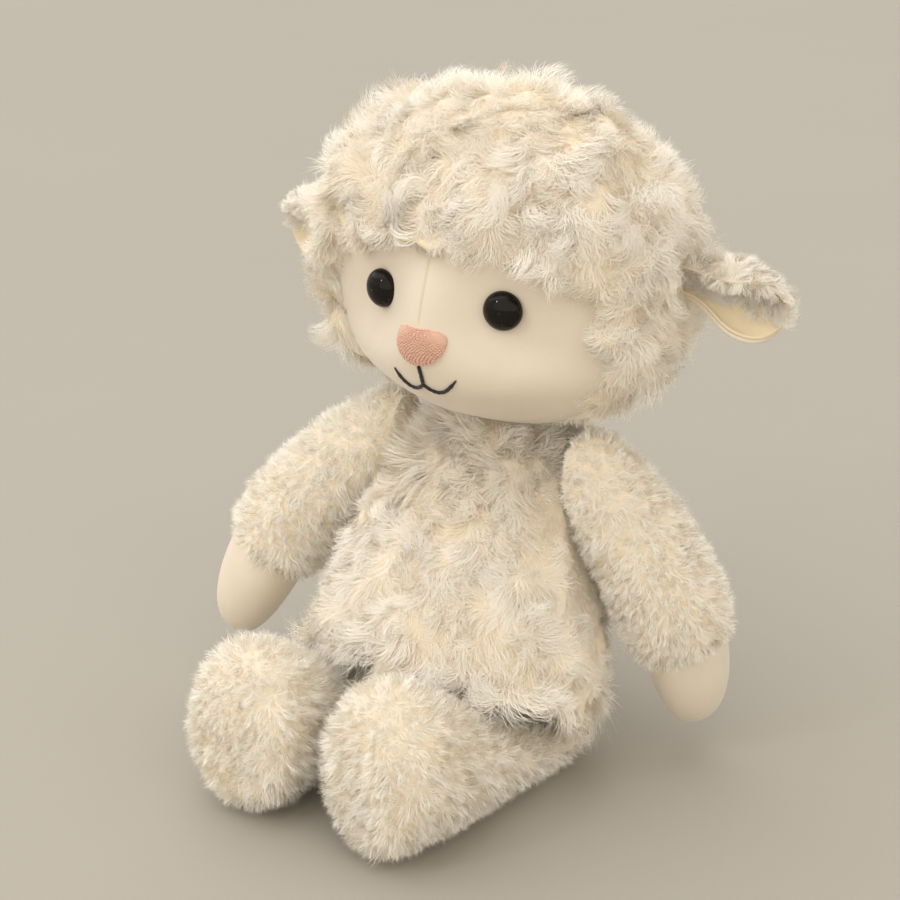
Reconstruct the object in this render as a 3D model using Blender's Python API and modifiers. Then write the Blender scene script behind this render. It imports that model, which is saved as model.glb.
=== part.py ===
"""A sitting plush sheep, built the way a soft toy is sewn: skins, fillings, eyes, ears and limbs.

Metres, +Z up. The sheep faces -Y and its left side is at +X. The origin is the centre of the
flat patch of its seat. Skins include their pile, so their outer faces are the toy's outline.
"""
import math

import bmesh
import bpy
from mathutils import Matrix, Vector

MM = 0.001

# Clearances and cutting allowances
GAP = 0.3 * MM
STUFFING_GAP = 0.8 * MM
NECK_GAP = 0.8 * MM
OVERRUN = 5.0 * MM
REACH = 400.0 * MM

# Cloths: how far each stands from the stuffing, its pile included
LONG_PILE = 7.0 * MM
BACKING = 1.5 * MM
FLEECE = 4.0 * MM
SMOOTH_CLOTH = 1.6 * MM
EAR_FLEECE = 2.2 * MM
EAR_LINING = 1.0 * MM

# Body, a pear that leans back from the seat to the neck
BODY_TALL = 106.0 * MM
BODY_WIDE = 109.0 * MM
BODY_DEEP = 82.0 * MM
BODY_RECLINE = 30.0 * MM
BODY_TRIM = 6.0 * MM
BODY_TOP = BODY_TALL - BODY_TRIM
POUCH_WIDE = 36.0 * MM
POUCH_DEEP = 30.0 * MM
POUCH_TALL = 18.0 * MM
POUCH_BACK = 13.0 * MM
POUCH_LIFT = 1.5 * MM

# Neck, a firm wad with a round top on which the head nods
NECK_BELOW_TOP = 6.0 * MM
NECK_HEIGHT = BODY_TOP - NECK_BELOW_TOP
NECK_BALL = 20.0 * MM
NECK_STEM = 13.0 * MM
NECK_ROOT = 26.0 * MM

# Head, measured on the cloth under the pile, from the head's centre
HEAD_LIFT = 12.5 * MM
HEAD_HALF_WIDE = 56.5 * MM
HEAD_UP = 48.0 * MM
HEAD_DOWN = 50.0 * MM
HEAD_HEIGHT = NECK_HEIGHT + HEAD_LIFT + HEAD_DOWN
HEAD_FRONT = 33.5 * MM
HEAD_BACK = 39.0 * MM
HEAD_BEHIND_SEAT = 29.0 * MM
HEAD_SQUARENESS = 2.4
HEAD_BACK_ROUNDER = 0.4
MUZZLE_PROUD = 16.5 * MM
MUZZLE_DROP = 28.5 * MM
MUZZLE_HEIGHT = HEAD_HEIGHT - MUZZLE_DROP
MUZZLE_BELOW = 15.0 * MM
MUZZLE_ABOVE = 42.0 * MM
MUZZLE_BROAD = 32.0 * MM
MUZZLE_NARROW = 14.0 * MM
MUZZLE_TAPER = 12.0 * MM
CHIN_BARE_SHARE = 0.95
CHIN_FULL_SHARE = 0.35

# The opening of the woolly cap that the smooth face fills
WINDOW_HALF_WIDE = 48.0 * MM
WINDOW_HALF_TALL = 34.0 * MM
WINDOW_DROP = 15.5 * MM
WINDOW_HEIGHT = HEAD_HEIGHT - WINDOW_DROP
WINDOW_FLARE = 7.0 * MM
WINDOW_NEAR = 40.0 * MM
WINDOW_FAR = 20.0 * MM

# Eyes, domed beads on stems with a locking washer behind the cloth
EYE_RADIUS = 6.0 * MM
EYE_DOME = 4.0 * MM
EYE_RIM = 1.0 * MM
EYE_STEM_RADIUS = 1.8 * MM
EYE_STEM_LENGTH = 9.0 * MM
EYE_SPREAD = 21.3 * MM
EYE_DROP = 4.5 * MM
EYE_HEIGHT = HEAD_HEIGHT - EYE_DROP
EYE_TURN = math.radians(15.0)
WASHER_RADIUS = 7.0 * MM
WASHER_THICK = 1.6 * MM
WASHER_SETBACK = 1.2 * MM

# Nose and mouth, laid on the face
NOSE_WIDE = 17.5 * MM
NOSE_TALL = 12.5 * MM
NOSE_DROP = 16.0 * MM
NOSE_HEIGHT = HEAD_HEIGHT - NOSE_DROP
NOSE_THICK = 1.6 * MM
MOUTH_HALF_WIDE = 11.0 * MM
MOUTH_DROP = 28.2 * MM
MOUTH_HEIGHT = HEAD_HEIGHT - MOUTH_DROP
MOUTH_DIP = 1.8 * MM
MOUTH_LIFT = 2.2 * MM
THREAD_RADIUS = 0.6 * MM

# Ears, leaves folded into a trough that opens forward and down
EAR_LONG = 35.0 * MM
EAR_HALF_TALL = 12.5 * MM
EAR_HALF_DEEP = 9.0 * MM
EAR_DROOP = 6.0 * MM
EAR_ROOT_OUT = 56.0 * MM
EAR_ROOT_RISE = 2.5 * MM
EAR_ROOT_HEIGHT = HEAD_HEIGHT + EAR_ROOT_RISE
EAR_ROOT_BALL = 10.8 * MM
EAR_BACK_OF_SEAT = 34.0 * MM
EAR_ROLL = math.radians(22.0)
EAR_LIFT_LEFT = math.radians(-5.0)
EAR_LIFT_RIGHT = math.radians(-4.0)

# Arms, measured from the shoulder to the tip of the hand
ARM_LONG = 92.0 * MM
ARM_BOW = 8.0 * MM
ARM_WIDE = 36.0 * MM
HAND_WIDE = 27.5 * MM
CUFF_SHARE = 0.6957
CUFF_AT = CUFF_SHARE * ARM_LONG
SHOULDER_INSET = 16.5 * MM
SHOULDER_OUT = 0.5 * BODY_WIDE - SHOULDER_INSET
SHOULDER_BEHIND_SEAT = 22.0 * MM
SHOULDER_BELOW_TOP = 4.0 * MM
SHOULDER_HEIGHT = BODY_TOP - SHOULDER_BELOW_TOP
SHOULDER_CONE_INSET = 10.0 * MM
SHOULDER_CONE_OUT = SHOULDER_OUT - SHOULDER_CONE_INSET
SHOULDER_CONE_RISE_SHARE = 0.37
SHOULDER_CONE_DEEP = 90.0 * MM
ARM_SPREAD_LEFT = math.radians(19.0)
ARM_SPREAD_RIGHT = math.radians(31.0)
ARM_FORWARD_LEFT = math.radians(-14.0)
ARM_FORWARD_RIGHT = math.radians(22.0)

# Legs, measured from the upright hip axis to the middle of the foot
LEG_LONG = 69.0 * MM
FOOT_WIDE = 45.0 * MM
FOOT_TALL = 56.0 * MM
HIP_OUT = 33.0 * MM
HIP_BEHIND_SEAT = 8.0 * MM
LEG_TURN_LEFT = math.radians(-11.0)
LEG_TURN_RIGHT = math.radians(3.0)
LEG_SPLAY = math.radians(16.0)
LAP_HEIGHT = 15.0 * MM
LAP_RISE_SHARE = 0.64
LAP_CEILING = 50.0 * MM
LAP_HIP_START = 7.0 * MM
LAP_HIP_REACH = 38.0 * MM
LAP_HIP_ANGLE = math.radians(46.0)
LAP_FOOT_REACH = 64.0 * MM
LAP_FOOT_ANGLE = math.radians(27.0)
LAP_FOOT_START = 20.0 * MM
LAP_FOOT_LIFT = 1.2 * MM
HIP_ROUND = 15.5 * MM
HIP_ROOM_TALL = 19.0 * MM
HIP_OPENING = 6.0 * MM

# Tail, a small stuffed tuft at the back of the seat
TAIL_LONG = 20.0 * MM
TAIL_WIDE = 16.0 * MM
TAIL_HEIGHT = 24.0 * MM
TAIL_TILT = math.radians(25.0)

# Stations of the soft forms, as shares of the sizes they follow
# Body: height, width, depth, recline
BODY_SHARES = (
    (-0.02, 0.66, 0.66, 0.00),
    (0.08, 0.92, 0.90, 0.00),
    (0.28, 1.00, 1.00, 0.02),
    (0.48, 0.93, 0.97, 0.22),
    (0.66, 0.80, 0.86, 0.50),
    (0.82, 0.64, 0.72, 0.78),
    (0.94, 0.50, 0.60, 0.95),
    (1.03, 0.34, 0.42, 1.00),
)
# Sleeve and hand: distance along the arm, width
SLEEVE_SHARES = ((-0.13, 0.42), (-0.04, 0.72), (0.12, 0.84), (0.36, 0.97), (0.56, 1.00), (0.76, 0.92))
HAND_SHARES = ((0.60, 0.96), (0.72, 1.00), (0.86, 0.90), (0.96, 0.64), (1.00, 0.30))
ARM_FILL_SHARES = (
    (-0.08, 0.20), (-0.01, 0.44), (0.14, 0.58), (0.36, 0.70), (0.56, 0.73), (0.70, 0.62), (0.84, 0.56), (0.94, 0.36),
)
# Leg: distance along, height of the middle, half width, half height
LEG_SHARES = (
    (-0.15, 0.10, 0.16, 0.08),
    (0.00, 0.12, 0.20, 0.125),
    (0.21, 0.175, 0.24, 0.185),
    (0.41, 0.245, 0.31, 0.255),
    (0.62, 0.33, 0.385, 0.34),
    (0.79, 0.42, 0.46, 0.43),
    (0.97, 0.50, 0.50, 0.51),
    (1.14, 0.47, 0.46, 0.46),
    (1.24, 0.40, 0.32, 0.31),
)
# Tail: distance along, width
TAIL_SHARES = ((0.00, 0.55), (0.30, 0.95), (0.65, 1.00), (0.95, 0.60))
# Ear: distance along, half angle of the fold as a share of half a turn, size of the section
EAR_SHARES = (
    (0.00, 0.60, 0.56),
    (0.28, 0.64, 0.58),
    (0.44, 0.67, 0.84),
    (0.58, 0.67, 1.00),
    (0.72, 0.62, 1.00),
    (0.85, 0.50, 0.94),
    (0.94, 0.34, 0.88),
    (1.00, 0.16, 0.84),
)
# Nose outline: width and height from its middle, clockwise from the top left corner
NOSE_SHARES = (
    (-0.36, 0.48), (0.00, 0.50), (0.36, 0.48), (0.49, 0.30), (0.46, 0.02), (0.30, -0.32),
    (0.14, -0.48), (-0.14, -0.48), (-0.30, -0.32), (-0.46, 0.02), (-0.49, 0.30),
)

# Facets
BODY_SIDES = 8
LIMB_SIDES = 6
SMOOTHING = 1
HEAD_SEGMENTS = 22
HEAD_RINGS = 13
BALL_RINGS = 10
TURNED_STEPS = 16
CUTTER_STEPS = 20
FOOT_ROOM_STEPS = 26
EAR_FOLD_STEPS = 8
NECK_STEPS = 24
NECK_ARC_STEPS = 9
EYE_ARC_STEPS = 5
MOUTH_ARC_STEPS = 6

WOOL = (0.84, 0.78, 0.67, 1.0)
FLEECE_COLOUR = (0.86, 0.81, 0.71, 1.0)
FACE_COLOUR = (0.80, 0.70, 0.56, 1.0)
LINING_COLOUR = (0.83, 0.72, 0.50, 1.0)
FIBRE_COLOUR = (0.90, 0.90, 0.88, 1.0)
PINK = (0.80, 0.47, 0.42, 1.0)
BLACK = (0.012, 0.011, 0.010, 1.0)
POUCH_COLOUR = (0.70, 0.70, 0.68, 1.0)


def clear_scene():
    """Remove every object of the scene that opens."""
    for obj in list(bpy.data.objects):
        bpy.data.objects.remove(obj, do_unlink=True)


def new_collection(name):
    """A collection linked to the scene."""
    collection = bpy.data.collections.new(name)
    bpy.context.scene.collection.children.link(collection)
    return collection


def new_material(name, colour, roughness, metallic=0.0):
    """A Principled material."""
    material = bpy.data.materials.new(name)
    material.use_nodes = True
    shader = material.node_tree.nodes["Principled BSDF"]
    shader.inputs["Base Color"].default_value = colour
    shader.inputs["Roughness"].default_value = roughness
    shader.inputs["Metallic"].default_value = metallic
    material.diffuse_color = colour
    return material


def new_object(name, bm, collection):
    """An object that takes over a bmesh, with its faces pointing out."""
    bmesh.ops.recalc_face_normals(bm, faces=bm.faces)
    mesh = bpy.data.meshes.new(name)
    bm.to_mesh(mesh)
    bm.free()
    obj = bpy.data.objects.new(name, mesh)
    collection.objects.link(obj)
    return obj


def finish(obj, material, pivot=None):
    """Give a part its material and smooth shading, and hang it on its pivot."""
    obj.data.materials.append(material)
    obj.data.shade_smooth()
    if pivot is not None:
        obj.parent = pivot
    return obj


def mark_cutter(obj):
    """Show a cutter as a wire and keep it out of renders."""
    obj.hide_render = True
    obj.display_type = "WIRE"
    return obj


def boolean(obj, operation, tool):
    """Cut, keep or join with another object."""
    modifier = obj.modifiers.new(operation.lower() + "_" + tool.name, "BOOLEAN")
    modifier.operation = operation
    modifier.object = tool
    modifier.solver = "EXACT"


def cut(obj, *tools):
    for tool in tools:
        boolean(obj, "DIFFERENCE", tool)


def keep(obj, *tools):
    for tool in tools:
        boolean(obj, "INTERSECT", tool)


def smooth_form(obj):
    """Round a coarse cage."""
    modifier = obj.modifiers.new("swell", "SUBSURF")
    modifier.levels = SMOOTHING
    modifier.render_levels = SMOOTHING
    split = obj.modifiers.new("split", "TRIANGULATE")
    split.quad_method = "FIXED"


def ring_cage(name, stations, sides, collection):
    """A coarse closed cage through stations, each a centre and two half axes.

    The half axes are stretched by what rounding a ring of this many sides takes off.
    """
    swell = 3.0 / (2.0 + math.cos(math.tau / sides))
    bm = bmesh.new()
    rings = []
    for centre, across, through in stations:
        ring = []
        for step in range(sides):
            angle = math.tau * (step + 0.5) / sides
            offset = across * math.cos(angle) + through * math.sin(angle)
            ring.append(bm.verts.new(centre + offset * swell))
        rings.append(ring)
    for lower, upper in zip(rings, rings[1:]):
        for step in range(sides):
            after = (step + 1) % sides
            bm.faces.new((lower[step], lower[after], upper[after], upper[step]))
    bm.faces.new(rings[0][::-1])
    bm.faces.new(rings[-1])
    obj = new_object(name, bm, collection)
    smooth_form(obj)
    return obj


def turned_form(name, profile, steps, collection, centre=Vector(), turn=Matrix.Identity(4)):
    """A turned solid about Z: a profile of (radius, height) from top to bottom, with Screw.

    A profile that stays clear of the axis is closed into a ring.
    """
    bm = bmesh.new()
    points = [bm.verts.new((radius, 0.0, height)) for radius, height in profile]
    if profile[0][0] > 0.0:
        points.append(points[0])
    for start, end in zip(points, points[1:]):
        bm.edges.new((start, end))
    mesh = bpy.data.meshes.new(name)
    bm.to_mesh(mesh)
    bm.free()
    obj = bpy.data.objects.new(name, mesh)
    collection.objects.link(obj)
    screw = obj.modifiers.new("turn", "SCREW")
    screw.steps = steps
    screw.render_steps = steps
    screw.use_merge_vertices = True
    screw.merge_threshold = 0.00001
    obj.matrix_world = Matrix.Translation(centre) @ turn
    return obj


def block(name, low, high, collection):
    """A box between two corners."""
    bm = bmesh.new()
    bmesh.ops.create_cube(bm, size=1.0)
    size = Vector(high) - Vector(low)
    middle = (Vector(high) + Vector(low)) / 2.0
    for vert in bm.verts:
        vert.co = Vector((vert.co.x * size.x, vert.co.y * size.y, vert.co.z * size.z)) + middle
    return new_object(name, bm, collection)


def wedge(name, first, last, reach, collection, centre, clearance):
    """An upright prism with its point at centre, between two compass angles from -Y.

    The clearance moves its two sides outward.
    """
    middle = (first + last) / 2.0
    setback = clearance / math.sin((last - first) / 2.0)
    corners = [Vector()]
    for angle in (first, middle, last):
        corners.append(Vector((math.sin(angle), -math.cos(angle), 0.0)) * reach)
    bm = bmesh.new()
    base = bm.faces.new([bm.verts.new(corner - Vector((0.0, 0.0, reach))) for corner in corners])
    lifted = bmesh.ops.extrude_face_region(bm, geom=[base])
    top = [item for item in lifted["geom"] if isinstance(item, bmesh.types.BMVert)]
    bmesh.ops.translate(bm, verts=top, vec=(0.0, 0.0, 2.0 * reach))
    obj = new_object(name, bm, collection)
    back = Vector((-math.sin(middle), math.cos(middle), 0.0)) * setback
    obj.location = centre + back
    return mark_cutter(obj)


# Pivots

def new_pivot(name, place, collection, turn=Matrix.Identity(4)):
    """An empty on a joint's axis."""
    pivot = bpy.data.objects.new(name, None)
    pivot.empty_display_size = NECK_BALL
    collection.objects.link(pivot)
    pivot.matrix_basis = Matrix.Translation(place) @ turn
    return pivot


def hang(obj, pivot):
    """Parent an object that is already in place."""
    obj.parent = pivot
    obj.matrix_parent_inverse = pivot.matrix_basis.inverted()


# Head surface

def muzzle(x, z):
    """How far the muzzle stands forward: broad at the mouth, a narrow ridge at the brow."""
    rise = z - MUZZLE_HEIGHT
    spread = MUZZLE_ABOVE if rise > 0.0 else MUZZLE_BELOW
    width = MUZZLE_NARROW + (MUZZLE_BROAD - MUZZLE_NARROW) * math.exp(-(rise / MUZZLE_TAPER) ** 2)
    return MUZZLE_PROUD * math.exp(-(rise / spread) ** 2) * math.exp(-(x / width) ** 2)


def head_point(direction, pile):
    """The point of the head in a direction from its centre, raised by the pile."""
    half = Vector((
        HEAD_HALF_WIDE,
        HEAD_FRONT if direction.y < 0.0 else HEAD_BACK,
        HEAD_UP if direction.z > 0.0 else HEAD_DOWN,
    ))
    power = HEAD_SQUARENESS - HEAD_BACK_ROUNDER * max(0.0, direction.y)
    spread = sum(abs(direction[i] / half[i]) ** power for i in range(3))
    point = direction * spread ** (-1.0 / power)
    normal = Vector([
        math.copysign(abs(point[i] / half[i]) ** (power - 1.0) / half[i], point[i]) for i in range(3)
    ]).normalized()
    bare = (direction.z + CHIN_BARE_SHARE) / (CHIN_BARE_SHARE - CHIN_FULL_SHARE)
    if pile > 0.0:
        point += normal * pile * min(1.0, max(0.0, bare))
    else:
        point += normal * pile
    point += Vector((0.0, HEAD_BEHIND_SEAT, HEAD_HEIGHT))
    point.y -= muzzle(point.x, point.z) * max(0.0, -direction.y) ** 0.5
    return point


def face_front(x, z):
    """The y of the face's cloth in front of a point of the face."""
    rise = z - HEAD_HEIGHT
    half = HEAD_UP if rise > 0.0 else HEAD_DOWN
    power = HEAD_SQUARENESS
    rest = 1.0 - abs(x / HEAD_HALF_WIDE) ** power - abs(rise / half) ** power
    depth = HEAD_FRONT * rest ** (1.0 / power)
    facing = depth / Vector((x, depth, rise)).length
    return HEAD_BEHIND_SEAT - depth - muzzle(x, z) * facing ** 0.5


def head_form(name, pile, segments, rings, collection):
    """A closed head, its cloth raised or sunk by the pile."""
    bm = bmesh.new()
    bmesh.ops.create_uvsphere(bm, u_segments=segments, v_segments=rings, radius=1.0)
    for vert in bm.verts:
        vert.co = head_point(vert.co.normalized(), pile)
    bmesh.ops.triangulate(bm, faces=bm.faces, quad_method="FIXED")
    return new_object(name, bm, collection)


# Cutters

def make_cutters(tools):
    """The cutters that more than one part shares."""
    cutters = {}
    cutters["ground"] = block("ground", (-REACH, -REACH, -REACH), (REACH, REACH, 0.0), tools)
    cutters["above_body"] = block("above_body", (-REACH, -REACH, BODY_TOP), (REACH, REACH, REACH), tools)
    cutters["neck_socket"] = turned_form(
        "neck_socket", neck_profile(NECK_GAP), NECK_STEPS, tools, neck_centre())
    for cutter in cutters.values():
        mark_cutter(cutter)
    return cutters


def limb_rooms(name, clearance, tools):
    """What the arms and legs need beside and under the body, with a clearance."""
    rooms = []
    for side, hand in ((1, "left"), (-1, "right")):
        rooms.append(shoulder_cone(name + "_shoulder_" + hand, side, -clearance, tools))
        radius = HIP_ROUND + clearance
        top = HIP_ROOM_TALL + clearance
        floor = -OVERRUN - clearance
        profile = [(0.0, top), (radius, top), (radius, floor), (0.0, floor)]
        leg_room = turned_form(name + "_leg_" + hand, profile, TURNED_STEPS, tools, hip_centre(side))
        first = LEG_TURN_LEFT if side > 0 else LEG_TURN_RIGHT - LEG_SPLAY
        last = LEG_TURN_LEFT + LEG_SPLAY if side > 0 else LEG_TURN_RIGHT
        for place, start, reach, angle, lift, steps in (
            ("_hip_", LAP_HIP_START, LAP_HIP_REACH, LAP_HIP_ANGLE, 0.0, CUTTER_STEPS),
            ("_foot_", LAP_FOOT_START, LAP_FOOT_REACH, LAP_FOOT_ANGLE, LAP_FOOT_LIFT, FOOT_ROOM_STEPS),
        ):
            profile = lap_profile(start - clearance, reach + clearance, clearance + lift)
            sweep = turned_form(name + place + hand, profile, steps, tools, hip_centre(side))
            keep(sweep, wedge(
                name + place + "slice_" + hand, first - angle, last + angle, REACH, tools,
                hip_centre(side), clearance))
            boolean(leg_room, "UNION", mark_cutter(sweep))
        rooms.append(mark_cutter(leg_room))
    return rooms


def neck_centre():
    return Vector((0.0, BODY_RECLINE, NECK_HEIGHT))


def hip_centre(side):
    return Vector((side * HIP_OUT, HIP_BEHIND_SEAT, 0.0))


def shoulder_centre(side):
    return Vector((side * SHOULDER_OUT, SHOULDER_BEHIND_SEAT, SHOULDER_HEIGHT))


def neck_profile(clearance):
    """The neck wad: a ball on a stem that narrows into the body."""
    radius = NECK_BALL + clearance
    start = math.radians(90.0)
    end = -math.acos((NECK_STEM + clearance) / radius)
    profile = []
    for step in range(NECK_ARC_STEPS + 1):
        angle = start + (end - start) * step / NECK_ARC_STEPS
        profile.append((max(0.0, radius * math.cos(angle)), radius * math.sin(angle)))
    profile[0] = (0.0, radius)
    profile.append((NECK_STEM + clearance, -NECK_ROOT - clearance))
    profile.append((0.0, -NECK_ROOT - clearance))
    return profile


def lap_profile(start, reach, lift):
    """The room under the belly in which a leg turns about its hip: its ceiling climbs forward."""
    ceiling = LAP_CEILING + lift
    knee = (LAP_CEILING - LAP_HEIGHT) / LAP_RISE_SHARE
    floor = -2.0 * OVERRUN - lift
    profile = [(start, LAP_HEIGHT + LAP_RISE_SHARE * start + lift)]
    if reach > knee:
        profile += [(knee, ceiling), (reach, ceiling)]
    else:
        profile.append((reach, LAP_HEIGHT + LAP_RISE_SHARE * reach + lift))
    return profile + [(reach, floor), (start, floor)]


def shoulder_cone(name, side, shift, collection):
    """The cone about a shoulder's swing axis that parts an arm from the body's flank."""
    radius = SHOULDER_CONE_DEEP / SHOULDER_CONE_RISE_SHARE
    bm = bmesh.new()
    bmesh.ops.create_cone(
        bm, cap_ends=True, segments=CUTTER_STEPS, radius1=radius, radius2=0.0, depth=SHOULDER_CONE_DEEP)
    bmesh.ops.rotate(bm, verts=bm.verts, matrix=Matrix.Rotation(math.radians(-90.0 * side), 3, "Y"))
    centre = shoulder_centre(side)
    centre.x = side * (SHOULDER_CONE_OUT + shift + SHOULDER_CONE_DEEP / 2.0)
    obj = new_object(name, bm, collection)
    obj.location = centre
    return mark_cutter(obj)


# Body

def body_stations(inset):
    """Rings of the body, sunk by the inset."""
    stations = []
    for height, width, depth, recline in BODY_SHARES:
        level = height * BODY_TALL
        if inset > 0.0:
            level = min(max(level, inset), BODY_TALL - inset)
        centre = Vector((0.0, recline * BODY_RECLINE, level))
        across = Vector((width * BODY_WIDE / 2.0 - inset, 0.0, 0.0))
        through = Vector((0.0, depth * BODY_DEEP / 2.0 - inset, 0.0))
        stations.append((centre, across, through))
    return stations


def make_body(parts, tools, cutters, materials):
    skin_depth = LONG_PILE + BACKING
    room = ring_cage("body_room", body_stations(skin_depth), BODY_SIDES, tools)
    cut(mark_cutter(room), *limb_rooms("skin_room", BACKING, tools))
    skin = ring_cage("body_skin", body_stations(0.0), BODY_SIDES, parts)
    cut(skin, cutters["ground"], cutters["above_body"], cutters["neck_socket"])
    cut(skin, *limb_rooms("limb_room", 0.0, tools))
    cut(skin, room)
    finish(skin, materials["wool"])

    floor = skin_depth + STUFFING_GAP
    filling = ring_cage("body_filling", body_stations(floor), BODY_SIDES, parts)
    bed = mark_cutter(pouch_form("pouch_bed", floor, STUFFING_GAP, tools))
    cut(filling, cutters["neck_socket"], bed)
    cut(filling, *limb_rooms("filling_room", BACKING + STUFFING_GAP, tools))
    finish(filling, materials["fibre"])
    finish(pouch_form("pellet_pouch", floor, 0.0, parts), materials["pouch"])

    neck = turned_form("neck_filling", neck_profile(0.0), NECK_STEPS, parts, neck_centre())
    finish(neck, materials["fibre"])
    return neck


def pouch_form(name, floor, clearance, collection):
    """The pouch of pellets that weights the seat. Its bed in the filling runs out below it."""
    foot = floor + POUCH_LIFT
    top = foot + POUCH_TALL + clearance
    middle = foot + POUCH_TALL / 2.0
    rows = [(foot, 0.84), (middle, 1.00), (top, 0.80)]
    if clearance > 0.0:
        rows.insert(0, (-OVERRUN, 0.84))
    stations = []
    for height, share in rows:
        across = Vector((share * POUCH_WIDE / 2.0 + clearance, 0.0, 0.0))
        through = Vector((0.0, share * POUCH_DEEP / 2.0 + clearance, 0.0))
        stations.append((Vector((0.0, POUCH_BACK, height)), across, through))
    return ring_cage(name, stations, LIMB_SIDES, collection)


def make_tail(parts, tools, materials):
    """A short stuffed tail sewn to the back of the body."""
    back_of_body = BODY_DEEP / 2.0
    root = Vector((0.0, back_of_body - GAP, TAIL_HEIGHT))
    along = Vector((0.0, math.cos(TAIL_TILT), -math.sin(TAIL_TILT)))
    upward = Vector((0.0, math.sin(TAIL_TILT), math.cos(TAIL_TILT)))
    stations = []
    for distance, width in TAIL_SHARES:
        half = width * TAIL_WIDE / 2.0
        stations.append((root + along * distance * TAIL_LONG, Vector((half, 0.0, 0.0)), upward * half))
    tail = ring_cage("tail", stations, LIMB_SIDES, parts)
    cut(tail, mark_cutter(ring_cage("tail_seat", body_stations(-GAP), BODY_SIDES, tools)))
    return finish(tail, materials["wool"])


# Head

def make_head(parts, tools, cutters, materials):
    window_cap = window_form("cap_window", GAP / 2.0, tools)
    window_face = window_form("face_window", -GAP / 2.0, tools)
    ear_beds = [turned_ball("ear_bed_" + hand, ear_centre(side), EAR_ROOT_BALL + GAP, tools)
                for side, hand in ((1, "left"), (-1, "right"))]

    cap = head_form("head_cap", LONG_PILE, HEAD_SEGMENTS, HEAD_RINGS, parts)
    inside = head_form("cap_inside", -BACKING, HEAD_SEGMENTS, HEAD_RINGS, tools)
    mark_cutter(inside)
    cut(cap, inside, window_cap, cutters["neck_socket"], *ear_beds)
    finish(cap, materials["wool"])

    face_inside = head_form("face_inside", -SMOOTH_CLOTH, HEAD_SEGMENTS, HEAD_RINGS, tools)
    mark_cutter(face_inside)
    eye_holes = []
    for side, hand in ((1, "left"), (-1, "right")):
        eye_holes.append(eye_stem_hole("eye_hole_" + hand, side, tools))
        near = GAP / 2.0 if side > 0 else -REACH
        far = REACH if side > 0 else -GAP / 2.0
        half = block("half_" + hand, (near, -REACH, -REACH), (far, REACH, REACH), tools)
        mark_cutter(half)
        face = head_form("face_" + hand, 0.0, HEAD_SEGMENTS, HEAD_RINGS, parts)
        cut(face, face_inside)
        keep(face, window_face, half)
        cut(face, cutters["neck_socket"], eye_holes[-1])
        finish(face, materials["face"])

    filling_depth = -(SMOOTH_CLOTH + STUFFING_GAP)
    filling = head_form("head_filling", filling_depth, HEAD_SEGMENTS, HEAD_RINGS, parts)
    cut(filling, cutters["neck_socket"], *ear_beds)
    for side, hand in ((1, "left"), (-1, "right")):
        cut(filling, washer_bed("washer_bed_" + hand, side, tools))
    finish(filling, materials["fibre"])


def window_form(name, clearance, collection):
    """The oval that parts the face from the cap, wider towards the front."""
    flare = WINDOW_FLARE / (WINDOW_NEAR + WINDOW_FAR)
    bm = bmesh.new()
    near = WINDOW_HALF_WIDE + clearance + flare * WINDOW_NEAR
    far = WINDOW_HALF_WIDE + clearance - flare * WINDOW_FAR
    depth = WINDOW_NEAR + WINDOW_FAR + 2.0 * clearance
    bmesh.ops.create_cone(
        bm, cap_ends=True, segments=CUTTER_STEPS, radius1=far, radius2=near, depth=depth)
    tallness = (WINDOW_HALF_TALL + clearance) / (WINDOW_HALF_WIDE + clearance)
    bmesh.ops.scale(bm, verts=bm.verts, vec=(1.0, tallness, 1.0))
    bmesh.ops.rotate(bm, verts=bm.verts, matrix=Matrix.Rotation(math.radians(90.0), 3, "X"))
    obj = new_object(name, bm, collection)
    obj.location = (0.0, (WINDOW_FAR - WINDOW_NEAR) / 2.0, WINDOW_HEIGHT)
    return mark_cutter(obj)


def turned_ball(name, centre, radius, collection):
    """A round cutter."""
    bm = bmesh.new()
    bmesh.ops.create_uvsphere(bm, u_segments=TURNED_STEPS, v_segments=BALL_RINGS, radius=radius)
    obj = new_object(name, bm, collection)
    obj.location = centre
    return mark_cutter(obj)


# Eyes

def eye_frame(side):
    """Where an eye sits: its local +Z looks out of the face."""
    spot = Vector((side * EYE_SPREAD, face_front(side * EYE_SPREAD, EYE_HEIGHT), EYE_HEIGHT))
    outward = Vector((side * math.sin(EYE_TURN), -math.cos(EYE_TURN), 0.0))
    turn = outward.to_track_quat("Z", "Y").to_matrix().to_4x4()
    return spot, turn


def eye_profile():
    """A low dome with an upright rim, a flat back and a stem."""
    profile = []
    for step in range(EYE_ARC_STEPS + 1):
        angle = math.radians(90.0) * (1.0 - step / EYE_ARC_STEPS)
        profile.append((EYE_RADIUS * math.cos(angle), GAP + EYE_RIM + EYE_DOME * math.sin(angle)))
    profile[0] = (0.0, GAP + EYE_RIM + EYE_DOME)
    profile.append((EYE_RADIUS, GAP))
    profile.append((EYE_STEM_RADIUS, GAP))
    profile.append((EYE_STEM_RADIUS, -EYE_STEM_LENGTH))
    profile.append((0.0, -EYE_STEM_LENGTH))
    return profile


def washer_profile(clearance):
    """A flat ring on the stem, behind the cloth."""
    top = -SMOOTH_CLOTH - WASHER_SETBACK + clearance
    bottom = top - WASHER_THICK - 2.0 * clearance
    inner = EYE_STEM_RADIUS + GAP
    outer = WASHER_RADIUS + clearance
    return [(inner, top), (outer, top), (outer, bottom), (inner, bottom)]


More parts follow.
